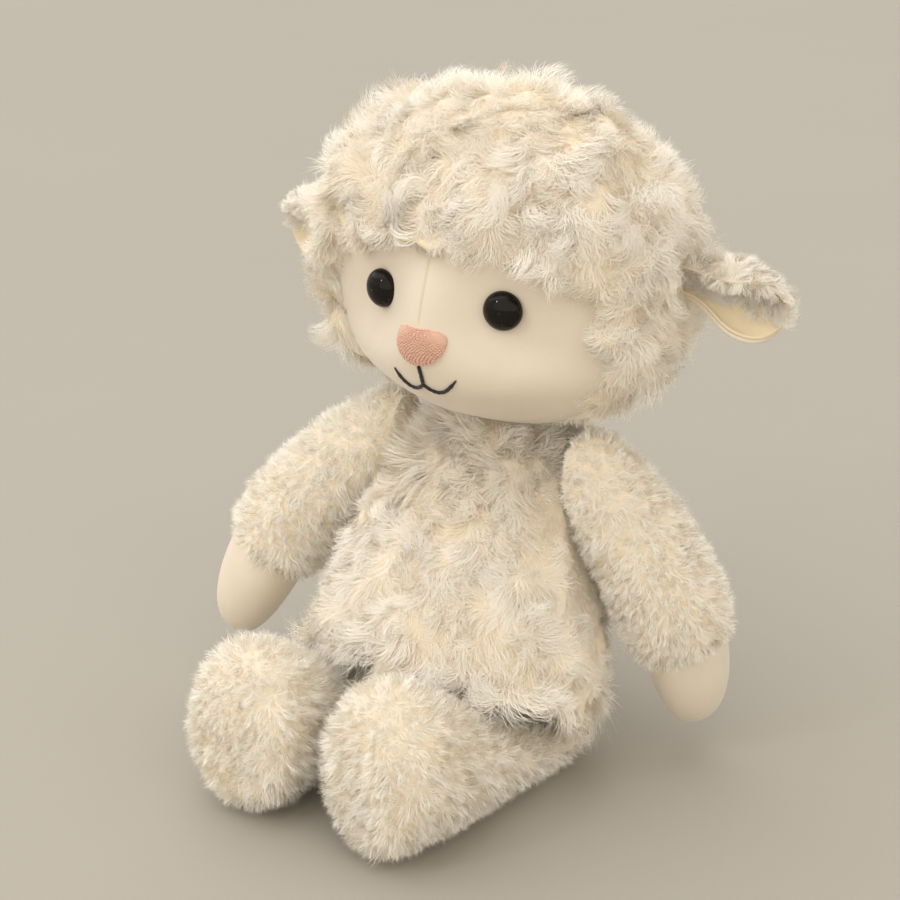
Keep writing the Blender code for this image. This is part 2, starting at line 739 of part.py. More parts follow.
def eye_stem_hole(name, side, collection):
    """The hole that an eye's stem goes through, and the flat that its bead presses in the cloth."""
    spot, turn = eye_frame(side)
    seat = EYE_RADIUS + GAP
    radius = EYE_STEM_RADIUS + GAP
    end = -EYE_STEM_LENGTH
    profile = [(0.0, OVERRUN), (seat, OVERRUN), (seat, 0.0), (radius, 0.0), (radius, end), (0.0, end)]
    return mark_cutter(turned_form(name, profile, TURNED_STEPS, collection, spot, turn))


def washer_bed(name, side, collection):
    """The room in the filling for a washer and the end of its stem."""
    spot, turn = eye_frame(side)
    floor = -SMOOTH_CLOTH - WASHER_SETBACK - WASHER_THICK - GAP
    outer = WASHER_RADIUS + GAP
    stem = EYE_STEM_RADIUS + GAP
    end = -EYE_STEM_LENGTH - GAP
    profile = [(0.0, OVERRUN), (outer, OVERRUN), (outer, floor), (stem, floor), (stem, end), (0.0, end)]
    return mark_cutter(turned_form(name, profile, TURNED_STEPS, collection, spot, turn))


def make_eyes(parts, materials):
    for side, hand in ((1, "left"), (-1, "right")):
        spot, turn = eye_frame(side)
        eye = turned_form("eye_" + hand, eye_profile(), TURNED_STEPS, parts, spot, turn)
        finish(eye, materials["bead"])
        washer = turned_form("eye_washer_" + hand, washer_profile(0.0), TURNED_STEPS, parts, spot, turn)
        finish(washer, materials["washer"])


# Nose and mouth

def make_nose(parts, tools, materials):
    """The nose patch: its outline cut from a layer that follows the face."""
    bm = bmesh.new()
    front = HEAD_BEHIND_SEAT - HEAD_FRONT - MUZZLE_PROUD - OVERRUN
    outline = [Vector((x * NOSE_WIDE, front, NOSE_HEIGHT + z * NOSE_TALL)) for x, z in NOSE_SHARES]
    base = bm.faces.new([bm.verts.new(point) for point in outline])
    pushed = bmesh.ops.extrude_face_region(bm, geom=[base])
    back = [item for item in pushed["geom"] if isinstance(item, bmesh.types.BMVert)]
    bmesh.ops.translate(bm, verts=back, vec=(0.0, MUZZLE_PROUD + 2.0 * OVERRUN, 0.0))
    nose = new_object("nose", bm, parts)
    outside = head_form("nose_outside", NOSE_THICK + GAP, HEAD_SEGMENTS, HEAD_RINGS, tools)
    inside = head_form("nose_inside", GAP, HEAD_SEGMENTS, HEAD_RINGS, tools)
    mark_cutter(outside)
    mark_cutter(inside)
    keep(nose, outside)
    cut(nose, inside)
    return finish(nose, materials["nose"])


def thread(name, points, collection):
    """A round thread through points."""
    curve = bpy.data.curves.new(name, "CURVE")
    curve.dimensions = "3D"
    curve.bevel_depth = THREAD_RADIUS
    curve.bevel_resolution = 1
    curve.use_fill_caps = True
    spline = curve.splines.new("POLY")
    spline.points.add(len(points) - 1)
    for slot, point in zip(spline.points, points):
        slot.co = (*point, 1.0)
    drawn = bpy.data.objects.new(name + "_curve", curve)
    collection.objects.link(drawn)
    bpy.context.view_layer.update()
    solid = bpy.data.meshes.new_from_object(drawn.evaluated_get(bpy.context.evaluated_depsgraph_get()))
    bpy.data.objects.remove(drawn, do_unlink=True)
    bm = bmesh.new()
    bm.from_mesh(solid)
    bmesh.ops.remove_doubles(bm, verts=bm.verts, dist=THREAD_RADIUS / 20.0)
    bpy.data.meshes.remove(solid)
    return new_object(name, bm, collection)


def on_face(x, z):
    """A thread's middle where it lies on the face."""
    return Vector((x, face_front(x, z) - THREAD_RADIUS - 2.0 * GAP, z))


def make_mouth(parts, tools, materials):
    """Two upturned arcs that meet below the nose, and the short drop to them."""
    arcs = []
    for step in range(-MOUTH_ARC_STEPS, MOUTH_ARC_STEPS + 1):
        share = step / MOUTH_ARC_STEPS
        dip = math.sin(math.pi * min(1.0, abs(share) * 1.25))
        lift = max(0.0, abs(share) - 0.45) / 0.55
        z = MOUTH_HEIGHT - MOUTH_DIP * dip + MOUTH_LIFT * lift
        arcs.append(on_face(share * MOUTH_HALF_WIDE, z))
    mouth = thread("mouth", arcs, parts)
    nose_foot = NOSE_HEIGHT - NOSE_TALL / 2.0
    drop_top = nose_foot - THREAD_RADIUS
    drop_points = []
    for step in range(4):
        drop_points.append(on_face(0.0, MOUTH_HEIGHT + (drop_top - MOUTH_HEIGHT) * step / 3.0))
    drop = mark_cutter(thread("mouth_drop", drop_points, tools))
    boolean(mouth, "UNION", drop)
    return finish(mouth, materials["thread"])


# Ears

def ear_centre(side):
    return Vector((side * EAR_ROOT_OUT, EAR_BACK_OF_SEAT, EAR_ROOT_HEIGHT))


def ear_sheet(name, side, inset, thickness, collection):
    """One layer of an ear: a leaf folded about its length, with the fold's mouth forward."""
    bm = bmesh.new()
    rows = []
    for along, fold, size in EAR_SHARES:
        row = []
        for step in range(EAR_FOLD_STEPS + 1):
            angle = EAR_ROLL + fold * math.pi * (2.0 * step / EAR_FOLD_STEPS - 1.0)
            y = (EAR_HALF_DEEP * size - inset) * math.cos(angle)
            z = (EAR_HALF_TALL * size - inset) * math.sin(angle)
            row.append(bm.verts.new((side * along * EAR_LONG, y, z - EAR_DROOP * along ** 2)))
        rows.append(row)
    for near, far in zip(rows, rows[1:]):
        for step in range(EAR_FOLD_STEPS):
            corners = (near[step], near[step + 1], far[step + 1], far[step])
            bm.faces.new(corners if side > 0 else corners[::-1])
    mesh = bpy.data.meshes.new(name)
    bm.to_mesh(mesh)
    bm.free()
    obj = bpy.data.objects.new(name, mesh)
    collection.objects.link(obj)
    modifier = obj.modifiers.new("cloth", "SOLIDIFY")
    modifier.thickness = thickness
    modifier.offset = -1.0
    return obj


def make_ears(parts, head_pivot, materials):
    lifts = {"left": EAR_LIFT_LEFT, "right": -EAR_LIFT_RIGHT}
    for side, hand in ((1, "left"), (-1, "right")):
        turn = Matrix.Rotation(-lifts[hand], 4, "Y")
        pivot = new_pivot("ear_root_" + hand, ear_centre(side), parts, turn)
        hang(pivot, head_pivot)
        back = ear_sheet("ear_back_" + hand, side, 0.0, EAR_FLEECE, parts)
        finish(back, materials["fleece"], pivot)
        lining = ear_sheet(
            "ear_lining_" + hand, side, EAR_FLEECE + STUFFING_GAP, EAR_LINING, parts)
        finish(lining, materials["lining"], pivot)


# Arms

def arm_stations(rows, grow, size, side):
    """Round stations down local -Z from distance and width shares, bowed outward."""
    first = rows[0][0] * ARM_LONG - grow
    last = rows[-1][0] * ARM_LONG + grow
    stations = []
    for distance, width in rows:
        half = width * size / 2.0 + grow
        level = distance * ARM_LONG
        if distance == rows[0][0]:
            level = first
        if distance == rows[-1][0]:
            level = last
        bow = side * ARM_BOW * math.sin(math.pi * min(max(distance, 0.0), 1.0))
        centre = Vector((bow, 0.0, -level))
        stations.append((centre, Vector((half, 0.0, 0.0)), Vector((0.0, half, 0.0))))
    return stations


def make_arms(parts, tools, materials):
    spreads = {"left": ARM_SPREAD_LEFT, "right": -ARM_SPREAD_RIGHT}
    swings = {"left": ARM_FORWARD_LEFT, "right": ARM_FORWARD_RIGHT}
    for side, hand in ((1, "left"), (-1, "right")):
        turn = Matrix.Rotation(-swings[hand], 4, "X") @ Matrix.Rotation(-spreads[hand], 4, "Y")
        pivot = new_pivot("shoulder_pivot_" + hand, shoulder_centre(side), parts, turn)
        past_cuff = block(
            "past_cuff_" + hand, (-REACH, -REACH, -REACH), (REACH, REACH, -CUFF_AT), tools)
        before_cuff = block(
            "before_cuff_" + hand, (-REACH, -REACH, -CUFF_AT - GAP), (REACH, REACH, REACH), tools)
        flank = shoulder_cone("sleeve_flank_" + hand, side, GAP, tools)
        room_flank = shoulder_cone("sleeve_room_flank_" + hand, side, GAP + FLEECE, tools)
        filling_flank = shoulder_cone(
            "arm_filling_flank_" + hand, side, GAP + FLEECE + STUFFING_GAP, tools)

        core_rows = arm_stations(ARM_FILL_SHARES, 0.0, ARM_WIDE, side)
        filling = ring_cage("arm_filling_" + hand, core_rows, LIMB_SIDES, parts)
        keep(filling, filling_flank)
        finish(filling, materials["fibre"], pivot)
        core_rows = arm_stations(ARM_FILL_SHARES, STUFFING_GAP, ARM_WIDE, side)
        room = ring_cage("arm_room_" + hand, core_rows, LIMB_SIDES, tools)
        keep(room, room_flank)

        rows = arm_stations(SLEEVE_SHARES, 0.0, ARM_WIDE, side)
        sleeve = ring_cage("sleeve_" + hand, rows, LIMB_SIDES, parts)
        keep(sleeve, flank)
        cut(sleeve, past_cuff, room)
        finish(sleeve, materials["fleece"], pivot)
        rows = arm_stations(HAND_SHARES, 0.0, HAND_WIDE, side)
        palm = ring_cage("hand_" + hand, rows, LIMB_SIDES, parts)
        cut(palm, before_cuff, room)
        finish(palm, materials["face"], pivot)
        for tool in (past_cuff, before_cuff, room):
            mark_cutter(tool).parent = pivot


# Legs

def leg_stations(inset):
    """Rings of a leg along local -Y from the hip's axis, with its sole on the ground."""
    first = LEG_SHARES[0][0] * LEG_LONG + inset
    last = LEG_SHARES[-1][0] * LEG_LONG - inset
    stations = []
    for distance, height, width, tall in LEG_SHARES:
        centre = Vector((0.0, -min(max(distance * LEG_LONG, first), last), height * FOOT_TALL))
        across = Vector((max(width * FOOT_WIDE - inset, GAP), 0.0, 0.0))
        through = Vector((0.0, 0.0, max(tall * FOOT_TALL - inset, GAP)))
        stations.append((centre, across, through))
    return stations


def make_legs(parts, tools, cutters, materials):
    turns = {"left": LEG_TURN_LEFT, "right": LEG_TURN_RIGHT}
    for side, hand in ((1, "left"), (-1, "right")):
        turn = Matrix.Rotation(turns[hand], 4, "Z")
        pivot = new_pivot("hip_pivot_" + hand, hip_centre(side), parts, turn)
        inner = min(0.0, -side * FOOT_WIDE)
        outer = max(0.0, -side * FOOT_WIDE)
        half = HIP_OPENING / 2.0
        sewn_end = block("sewn_end_" + hand, (inner, -half, half), (outer, half, 3.0 * half), tools)
        room = ring_cage("leg_room_" + hand, leg_stations(FLEECE), LIMB_SIDES, tools)
        for tool in (sewn_end, room):
            mark_cutter(tool).parent = pivot
        leg = ring_cage("leg_" + hand, leg_stations(0.0), LIMB_SIDES, parts)
        cut(leg, cutters["ground"], room, sewn_end)
        finish(leg, materials["fleece"], pivot)

        rows = leg_stations(FLEECE + STUFFING_GAP)
        filling = ring_cage("leg_filling_" + hand, rows[1:], LIMB_SIDES, parts)
        finish(filling, materials["fibre"], pivot)


def main():
    clear_scene()
    parts = new_collection("plush_sheep")
    tools = new_collection("cutters")
    materials = {
        "wool": new_material("wool", WOOL, 0.95),
        "fleece": new_material("fleece", FLEECE_COLOUR, 0.95),
        "face": new_material("smooth_cloth", FACE_COLOUR, 0.85),
        "lining": new_material("ear_lining", LINING_COLOUR, 0.85),
        "fibre": new_material("fibre", FIBRE_COLOUR, 1.0),
        "pouch": new_material("pouch_cloth", POUCH_COLOUR, 0.9),
        "bead": new_material("bead", BLACK, 0.08),
        "washer": new_material("washer", POUCH_COLOUR, 0.5),
        "nose": new_material("nose_stitching", PINK, 0.8),
        "thread": new_material("mouth_thread", BLACK, 0.6),
    }
    cutters = make_cutters(tools)
    neck = make_body(parts, tools, cutters, materials)
    make_tail(parts, tools, materials)

    head_pivot = new_pivot("neck_pivot", neck_centre(), parts)
    before = set(parts.objects)
    make_head(parts, tools, cutters, materials)
    make_eyes(parts, materials)
    make_nose(parts, tools, materials)
    make_mouth(parts, tools, materials)
    for obj in [item for item in parts.objects if item not in before]:
        hang(obj, head_pivot)
    hang(neck, head_pivot)
    make_ears(parts, head_pivot, materials)
    make_arms(parts, tools, materials)
    make_legs(parts, tools, cutters, materials)
    bpy.context.view_layer.update()


main()
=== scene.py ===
"""The looks of a sitting plush sheep: cloth forms, their pile, the face, the floor and the light.

Points are worked out in millimetres in the frame of the part, and become metres in each mesh.
"""
import math
from collections import namedtuple

import bpy
import numpy as np
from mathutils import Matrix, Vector
from mathutils.kdtree import KDTree


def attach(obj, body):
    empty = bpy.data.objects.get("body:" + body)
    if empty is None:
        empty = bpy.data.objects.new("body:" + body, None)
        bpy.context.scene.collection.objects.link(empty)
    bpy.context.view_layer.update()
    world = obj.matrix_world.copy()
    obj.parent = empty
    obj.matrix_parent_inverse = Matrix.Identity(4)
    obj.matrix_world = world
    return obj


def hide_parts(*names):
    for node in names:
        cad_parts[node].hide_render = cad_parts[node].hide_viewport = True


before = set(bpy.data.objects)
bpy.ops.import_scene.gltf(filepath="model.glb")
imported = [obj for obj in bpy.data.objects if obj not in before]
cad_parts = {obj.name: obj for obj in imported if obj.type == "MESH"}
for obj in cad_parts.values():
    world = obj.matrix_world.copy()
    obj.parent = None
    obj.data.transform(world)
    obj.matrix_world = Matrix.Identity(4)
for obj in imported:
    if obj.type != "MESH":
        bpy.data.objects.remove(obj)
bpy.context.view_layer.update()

MM = 0.001
LEFT, RIGHT = 1, -1
HANDS = {LEFT: "left", RIGHT: "right"}

# Sizes are in millimetres, and rings and rows hold shares of them

# Body: height, width, depth and recline of each ring
BODY_TALL, BODY_WIDE, BODY_DEEP, BODY_RECLINE = 106.0, 109.0, 82.0, 30.0
BODY_RINGS = (
    (-0.02, 0.66, 0.66, 0.00),
    (0.08, 0.92, 0.90, 0.00),
    (0.28, 1.00, 1.00, 0.02),
    (0.48, 0.93, 0.97, 0.22),
    (0.66, 0.80, 0.86, 0.50),
    (0.82, 0.64, 0.72, 0.78),
    (0.94, 0.50, 0.60, 0.95),
    (1.03, 0.34, 0.42, 1.00),
)
BODY_MIDDLE = np.array([0.0, 27.0, 56.0])
BODY_PILE, BODY_RELIEF, TUFT_SIZE = 3.4, 1.5, 25.0
NECK = np.array([0.0, 30.0, 94.0])
NECK_BALL, NECK_BOWL, NECK_SHOWS = 20.0, 21.0, (93.0, 107.0)

# Tail: distance along and width of each ring
TAIL_RINGS = ((0.00, 0.55), (0.30, 0.95), (0.65, 1.00), (0.95, 0.60))
TAIL_LONG, TAIL_WIDE, TAIL_HEIGHT, TAIL_PILE, TAIL_TILT = 20.0, 16.0, 24.0, 3.0, math.radians(25)

# Head
HEAD = np.array([0.0, 29.0, 156.5])
HEAD_HALF_WIDE, HEAD_UP, HEAD_DOWN, HEAD_FRONT, HEAD_BACK = 56.5, 48.0, 50.0, 33.5, 39.0
SQUARENESS, BACK_ROUNDER = 2.4, 0.4
MUZZLE_PROUD, MUZZLE_HEIGHT, MUZZLE_BELOW, MUZZLE_ABOVE = 16.5, 128.0, 15.0, 42.0
MUZZLE_BROAD, MUZZLE_NARROW, MUZZLE_TAPER = 32.0, 14.0, 12.0
HEAD_COAT, HEAD_RELIEF, CHEEK_COAT = 3.8, 1.8, 2.4

# Face: the bare part, its seam, the eyes, the nose with its pad, and the mouth
FACE_HEIGHT, FACE_HALF_WIDE, FACE_UP, FACE_DOWN, FACE_BACK = 141.0, 47.0, 27.0, 35.0, 17.0
SEAM_HALF_WIDE, SEAM_DEEP = 0.42, 0.75
EYE_SPREAD, EYE_HEIGHT, EYE_RADIUS, EYE_DOME, EYE_TURN = 21.3, 152.0, 6.0, 4.0, math.radians(15)
NOSE_WIDE, NOSE_TALL, NOSE_HEIGHT = 17.5, 12.5, 140.5
NOSE_OUTLINE = (
    (-0.32, 0.50), (0.00, 0.53), (0.32, 0.50), (0.50, 0.36), (0.50, 0.08), (0.42, -0.20),
    (0.26, -0.44), (0.00, -0.52), (-0.26, -0.44), (-0.42, -0.20), (-0.50, 0.08), (-0.50, 0.36),
)
NOSE_PAD = (
    (0.02, 1.55), (0.20, 1.55), (0.40, 1.50), (0.60, 1.40), (0.75, 1.25),
    (0.87, 1.00), (0.95, 0.70), (1.00, 0.25), (1.00, -0.40),
)
STITCH_PITCH, STITCH_LONG = 0.46, 1.05
STITCH_RINGS = (
    (0.00, 0.35, -0.50), (0.12, 0.80, 0.25), (0.35, 1.00, 0.60),
    (0.65, 1.00, 0.60), (0.88, 0.80, 0.25), (1.00, 0.35, -0.50),
)
MOUTH_HALF_WIDE, MOUTH_HEIGHT, MOUTH_DIP, MOUTH_LIFT, THREAD = 11.0, 128.3, 2.8, 2.8, 0.6

# Ears: distance along, half angle of the fold as a share of half a turn, size of the section
EAR_LONG, EAR_HALF_TALL, EAR_HALF_DEEP, EAR_DROOP = 35.0, 12.5, 9.0, 6.0
EAR_ROLL = math.radians(22)
EAR_ROOT = {LEFT: np.array([56.0, 34.0, 159.0]), RIGHT: np.array([-56.0, 34.0, 159.0])}
EAR_TURN = {LEFT: math.radians(5), RIGHT: math.radians(-4)}
EAR_FOLD = {LEFT: -5.5, RIGHT: -0.5}
EAR_BACK_DEPTHS, EAR_LINING_DEPTHS, EAR_RIM_DEPTH = (0.9, 2.3), (2.35, 3.4), 2.15
EAR_ROWS = (
    (0.00, 0.60, 0.56),
    (0.28, 0.64, 0.58),
    (0.44, 0.67, 0.84),
    (0.58, 0.67, 1.00),
    (0.72, 0.62, 1.00),
    (0.85, 0.50, 0.94),
    (0.94, 0.34, 0.88),
    (1.00, 0.16, 0.84),
)

# Arms: distance along and width of each ring
ARM_LONG, ARM_BOW, ARM_WIDE, HAND_WIDE = 92.0, 8.0, 36.0, 27.5
SHOULDER = {LEFT: np.array([38.0, 22.0, 96.0]), RIGHT: np.array([-38.0, 22.0, 96.0])}
FLANK_OUT, FLANK_RISE, FLANK_ROOM, FLANK_GAP = 28.0, 0.37, 1.6, 0.9
ARM_SPREAD = {LEFT: math.radians(19), RIGHT: math.radians(-31)}
ARM_FORWARD = {LEFT: math.radians(-14), RIGHT: math.radians(22)}
SLEEVE_RINGS = (
    (-0.13, 0.42), (-0.04, 0.74), (0.12, 0.90), (0.36, 1.00), (0.56, 1.01), (0.70, 0.945),
)
HAND_RINGS = ((0.66, 0.98), (0.72, 1.00), (0.86, 0.90), (0.96, 0.64), (1.00, 0.30))

# Legs: distance along, height of the middle, half width and half height of each ring
LEG_LONG, FOOT_WIDE, FOOT_TALL, LEG_PILE = 69.0, 45.0, 56.0, 2.4
HIP = {LEFT: np.array([33.0, 8.0, 0.0]), RIGHT: np.array([-33.0, 8.0, 0.0])}
LEG_TURN = {LEFT: math.radians(-11), RIGHT: math.radians(3)}
LEG_SPLAY = math.radians(16)
LEG_RINGS = (
    (-0.15, 0.10, 0.16, 0.08),
    (0.00, 0.12, 0.20, 0.125),
    (0.21, 0.175, 0.24, 0.185),
    (0.41, 0.245, 0.31, 0.255),
    (0.62, 0.33, 0.385, 0.34),
    (0.79, 0.42, 0.46, 0.43),
    (0.97, 0.50, 0.50, 0.51),
    (1.14, 0.47, 0.46, 0.46),
    (1.24, 0.40, 0.32, 0.31),
)
LIMB_RELIEF, LIMB_SWELL = 0.5, 0.6

# The room under the belly in which the legs swing, from the hip out, and the room at the hip
LAP_HEIGHT, LAP_RISE, LAP_CEILING = 15.0, 0.64, 50.0
LAP_NEAR, LAP_NARROWS, LAP_FAR = 6.0, 38.0, 66.0
LAP_OPEN_NEAR, LAP_OPEN_FAR = math.radians(48), math.radians(30)
LAP_LOOK = 1.5
HIP_ROOM_WIDE, HIP_ROOM_HIGH = 16.5, 20.0

# Piles: fibres to a square millimetre, their length, fibres to a lock, how far locks wander,
# lean at the root and at the tip, curl, how tight a lock closes, and a fibre's width and steps
Pile = namedtuple("Pile", "density length lock wander lean curl tight width steps")
BODY_WOOL = Pile(3.0, 7.8, 60, 0.45, (0.95, 1.42), 1.7, 0.38, 0.13, 4)
HEAD_WOOL = Pile(3.0, 8.0, 60, 0.50, (0.90, 1.42), 1.8, 0.40, 0.13, 4)
BODY_CURLS = Pile(None, 10.5, None, 0.70, (0.80, 1.45), 2.6, 0.60, 0.13, 5)
HEAD_CURLS = Pile(None, 11.5, None, 0.70, (0.75, 1.42), 2.8, 0.65, 0.13, 5)
NECK_WOOL = Pile(5.0, 12.5, 30, 0.50, (0.20, 0.75), 1.2, 0.40, 0.15, 4)
TAIL_WOOL = Pile(4.0, 7.0, 40, 0.40, (0.60, 1.35), 1.4, 0.60, 0.18, 4)
EAR_BACK = Pile(5.5, 4.6, 30, 0.50, (0.75, 1.30), 1.2, 0.60, 0.16, 3)
EAR_FRONT = Pile(6.0, 4.2, 30, 0.50, (0.85, 1.35), 1.2, 0.50, 0.16, 3)
EAR_RIM = Pile(9.0, 4.0, 24, 0.60, (0.50, 1.20), 1.0, 0.45, 0.16, 3)
SLEEVE_FLEECE = Pile(4.4, 4.2, 9, 1.30, (0.40, 1.05), 1.2, 0.30, 0.14, 3)
LEG_FLEECE = Pile(4.2, 4.5, 9, 1.30, (0.40, 1.05), 1.2, 0.30, 0.14, 3)
CURL_SPACING, CURL_TRIES, WOOL_FLOOR = 11.0, 6000, 0.4

# How far locks, and the fibres of a lock, differ from one another, with turns in radians
LOCK_TILT, LOCK_COIL, LOCK_STRETCH, LOCK_TONE = 0.06, (0.4, 1.3), (0.86, 1.10), 0.05
FIBRE_TURN, FIBRE_BEND, FIBRE_COIL, FIBRE_STRETCH, FIBRE_TONE = 0.36, 0.11, 0.45, 0.10, 0.05
FIBRE_WIDTHS, FLY_BEND, LEAN_LIMITS = (0.7, 1.25), 0.55, (-0.3, 1.53)
# Painted shade: fibres rooted in the creases of the relief get the darker, warmer crease colour and
# those on the tufts the pale one, over so many shades
RELIEF_PAINTED_SHADE, SHADES = 0.22, 64

FLOOR_REACH = 30000.0


# Small helpers

def unit(vectors):
    """Vectors brought to length one."""
    return vectors / np.maximum(np.linalg.norm(vectors, axis=-1, keepdims=True), 1e-9)


def turned(points, angle, axis):
    """Points turned about one of the three axes through the origin."""
    c, s = math.cos(angle), math.sin(angle)
    matrix = {
        "X": ((1, 0, 0), (0, c, -s), (0, s, c)),
        "Y": ((c, 0, s), (0, 1, 0), (-s, 0, c)),
        "Z": ((c, -s, 0), (s, c, 0), (0, 0, 1)),
    }[axis]
    return points @ np.array(matrix).T


def ease(x, start, end):
    """0 before start, 1 after end, and smooth between."""
    t = np.clip((x - start) / (end - start), 0.0, 1.0)
    return t * t * (3.0 - 2.0 * t)


def drift(points, size, seed):
    """A smooth random number at each point, about -1 to 1, that changes over the size."""
    rng = np.random.default_rng(seed)
    waves = unit(rng.normal(size=(14, 3))) * rng.uniform(0.6, 1.5, (14, 1)) * math.tau / size
    return np.sin(points @ waves.T + rng.uniform(0, math.tau, 14)).sum(-1) / math.sqrt(7.0)


def lumps(points, size, seed):
    """Rounded tufts with creases between them, about -0.8 in a crease and 1 on a tuft."""
    coarse = np.sqrt(drift(points, size, seed) ** 2 + 0.03)
    fine = np.sqrt(drift(points, size * 0.42, seed + 1) ** 2 + 0.03)
    return coarse + 0.45 * fine - 1.15


def curve_weights(share):
    """What four neighbours add to a smooth curve, at a share of the way from the second on."""
    return ((1 - share) ** 3, 3 * share ** 3 - 6 * share ** 2 + 4,
            -3 * share ** 3 + 3 * share ** 2 + 3 * share + 1, share ** 3)


def spline(rows, steps):
    """A smooth run of numbers that follows the rows from the first to the last."""
    rows = np.asarray(rows, float)
    rows = np.vstack([rows[:1], rows[:1], rows, rows[-1:], rows[-1:]])
    t = np.linspace(0.0, len(rows) - 3 - 1e-9, steps)
    i = t.astype(int)
    weights = curve_weights((t - i)[:, None])
    return sum(weight * rows[i + k] for k, weight in enumerate(weights)) / 6.0


def level(x, y, z, half_wide, half_deep):
    """A level ring for a loft."""
    return (x, y, z, half_wide, 0.0, 0.0, 0.0, half_deep, 0.0)


def loft(rings, along, around):
    """A tube through rings, each nine numbers: its centre and two half axes."""
    rows = spline(rings, along)[:, None]
    turn = np.linspace(0.0, math.tau, around, endpoint=False)[None, :, None]
    return rows[..., 0:3] + rows[..., 3:6] * np.cos(turn) + rows[..., 6:9] * np.sin(turn)


def shut(rings):
    """Rings with both ends drawn together to a point."""
    rings = [np.asarray(ring, float) for ring in rings]
    ends = [rings[0].copy(), rings[-1].copy()]
    for end in ends:
        end[3:] *= 0.02
    return ends[:1] + rings + ends[1:]


class Cloth:
    """A surface as rows of points, closed round each row or open."""

    def __init__(self, points, closed=True, inside_out=False, relief=None):
        self.points = points
        self.closed = closed
        self.relief = np.zeros(points.shape[:2]) if relief is None else relief
        down = np.gradient(points, axis=0)
        if closed:
            across = (np.roll(points, -1, 1) - np.roll(points, 1, 1)) / 2.0
        else:
            across = np.gradient(points, axis=1)
        self.down = unit(down)
        normals = unit(np.cross(down, across))
        if closed:
            inside_out = ((points - points.mean(1, keepdims=True)) * normals).sum() < 0.0
        self.flipped = inside_out
        self.normals = -normals if inside_out else normals

    def turn_out(self, sign=1.0, centre=None):
        """Turn the normals away from the centre, or towards it for a sign of -1."""
        centre = self.points.mean(1, keepdims=True) if centre is None else centre
        if sign * (self.normals * (self.points - centre)).sum() < 0.0:
            self.normals = -self.normals

    def scatter(self, density, rng):
        """Random places on the cloth, so many to the square millimetre.

        The density is a number, or a function of the middles and normals of the cells.
        """
        fields = [self.points, self.normals, self.down, self.relief[..., None]]
        if self.closed:
            fields = [np.concatenate([field, field[:, :1]], 1) for field in fields]
        points, normals = fields[:2]
        columns = points.shape[1] - 1
        area = np.linalg.norm(np.cross(
            points[1:, :-1] - points[:-1, :-1], points[:-1, 1:] - points[:-1, :-1]), axis=-1)
        if callable(density):
            density = density((points[1:, 1:] + points[:-1, :-1]) / 2.0,
                              unit(normals[1:, 1:] + normals[:-1, :-1]))
        amount = (area * density).ravel()
        count = int(amount.sum())
        cell = rng.choice(len(amount), count, p=amount / amount.sum())
        row, column = cell // columns, cell % columns
        a, b = rng.random((2, count, 1))

        def blend(field):
            near = field[row, column] * (1 - a) + field[row + 1, column] * a
            far = field[row, column + 1] * (1 - a) + field[row + 1, column + 1] * a
            return near * (1 - b) + far * b

        place, normal, down, relief = map(blend, fields)
        return place, unit(normal), unit(down), relief[:, 0]

    def piece(self, name, material):
        """The cloth as a mesh object, with the ends of a closed cloth shut."""
        rows, columns = self.points.shape[:2]
        index = np.arange(rows * columns).reshape(rows, columns)
        near, far = (index, np.roll(index, -1, 1)) if self.closed else (index[:, :-1], index[:, 1:])
        quads = np.stack([near[:-1], far[:-1], far[1:], near[1:]], -1).reshape(-1, 4)
        faces = (quads if self.flipped else quads[:, ::-1]).tolist()
        if self.closed:
            ends = [index[0].tolist(), index[-1][::-1].tolist()]
            faces += ends if self.flipped else [end[::-1] for end in ends]
        return new_piece(name, self.points.reshape(-1, 3), faces, material)


def new_object(name, data):
    """An object in the scene."""
    made = bpy.data.objects.new(name, data)
    bpy.context.scene.collection.objects.link(made)
    return made


def new_piece(name, points, faces, material):
    """A smooth mesh object from points in millimetres."""
    mesh = bpy.data.meshes.new(name)
    mesh.from_pydata((np.asarray(points) * MM).tolist(), [], faces)
    mesh.shade_smooth()
    mesh.materials.append(material)
    return new_object(name, mesh)


def fit(piece, body, slot, *solids, fill=None):
    """Give a piece the body it rides on, and hide the CAD solids it replaces; its slot and its
    filling are not used.
    """
    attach(piece, body)
    if solids:
        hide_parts(*solids)


# Pile

def grow(place, normal, lay, length, lean, curl, steps):
    """Paths of fibres that rise from the cloth, lean over along the lay and curl sideways."""
    side = np.cross(normal, lay)
    path = [place]
    for step in range(steps):
        t = (step + 0.5) / steps
        angle = np.clip(lean[0] + (lean[1] - lean[0]) * t, *LEAN_LIMITS)[:, None]
        swing = (curl * t ** 1.3)[:, None]
        flat = lay * np.cos(swing) + side * np.sin(swing)
        stride = normal * np.cos(angle) + flat * np.sin(angle)
        path.append(path[-1] + stride * length[:, None] / steps)
    return np.stack(path, 1)


def rotated(vectors, axes, angles):
    """Vectors turned about axes they are square to."""
    angles = angles[:, None]
    return vectors * np.cos(angles) + np.cross(axes, vectors) * np.sin(angles)


def nearest(spots, points):
    """Which spot is nearest to each point, and how far off it is."""
    tree = KDTree(len(spots))
    for i, spot in enumerate(spots):
        tree.insert(spot, i)
    tree.balance()
    _, which, distance = zip(*(tree.find(point) for point in points))
    return np.array(which), np.array(distance)


def pick(roots, which):
    """Some of the roots."""
    return tuple(field[which] for field in roots)


def gather(roots, radius, seed):
    """The roots within the radius of spots scattered over the cloth, as separate locks."""
    place = roots[0]
    rng = np.random.default_rng(seed)
    spots = []
    for i in rng.choice(len(place), min(len(place), CURL_TRIES), replace=False):
        if all(np.abs(place[i] - place[j]).max() > CURL_SPACING for j in spots):
            spots.append(i)
    mine, distance = nearest(place[spots], place)
    kept = np.flatnonzero(distance < radius * rng.uniform(0.8, 1.2, len(spots))[mine])
    return pick(roots, kept), (np.searchsorted(kept, spots), mine[kept])


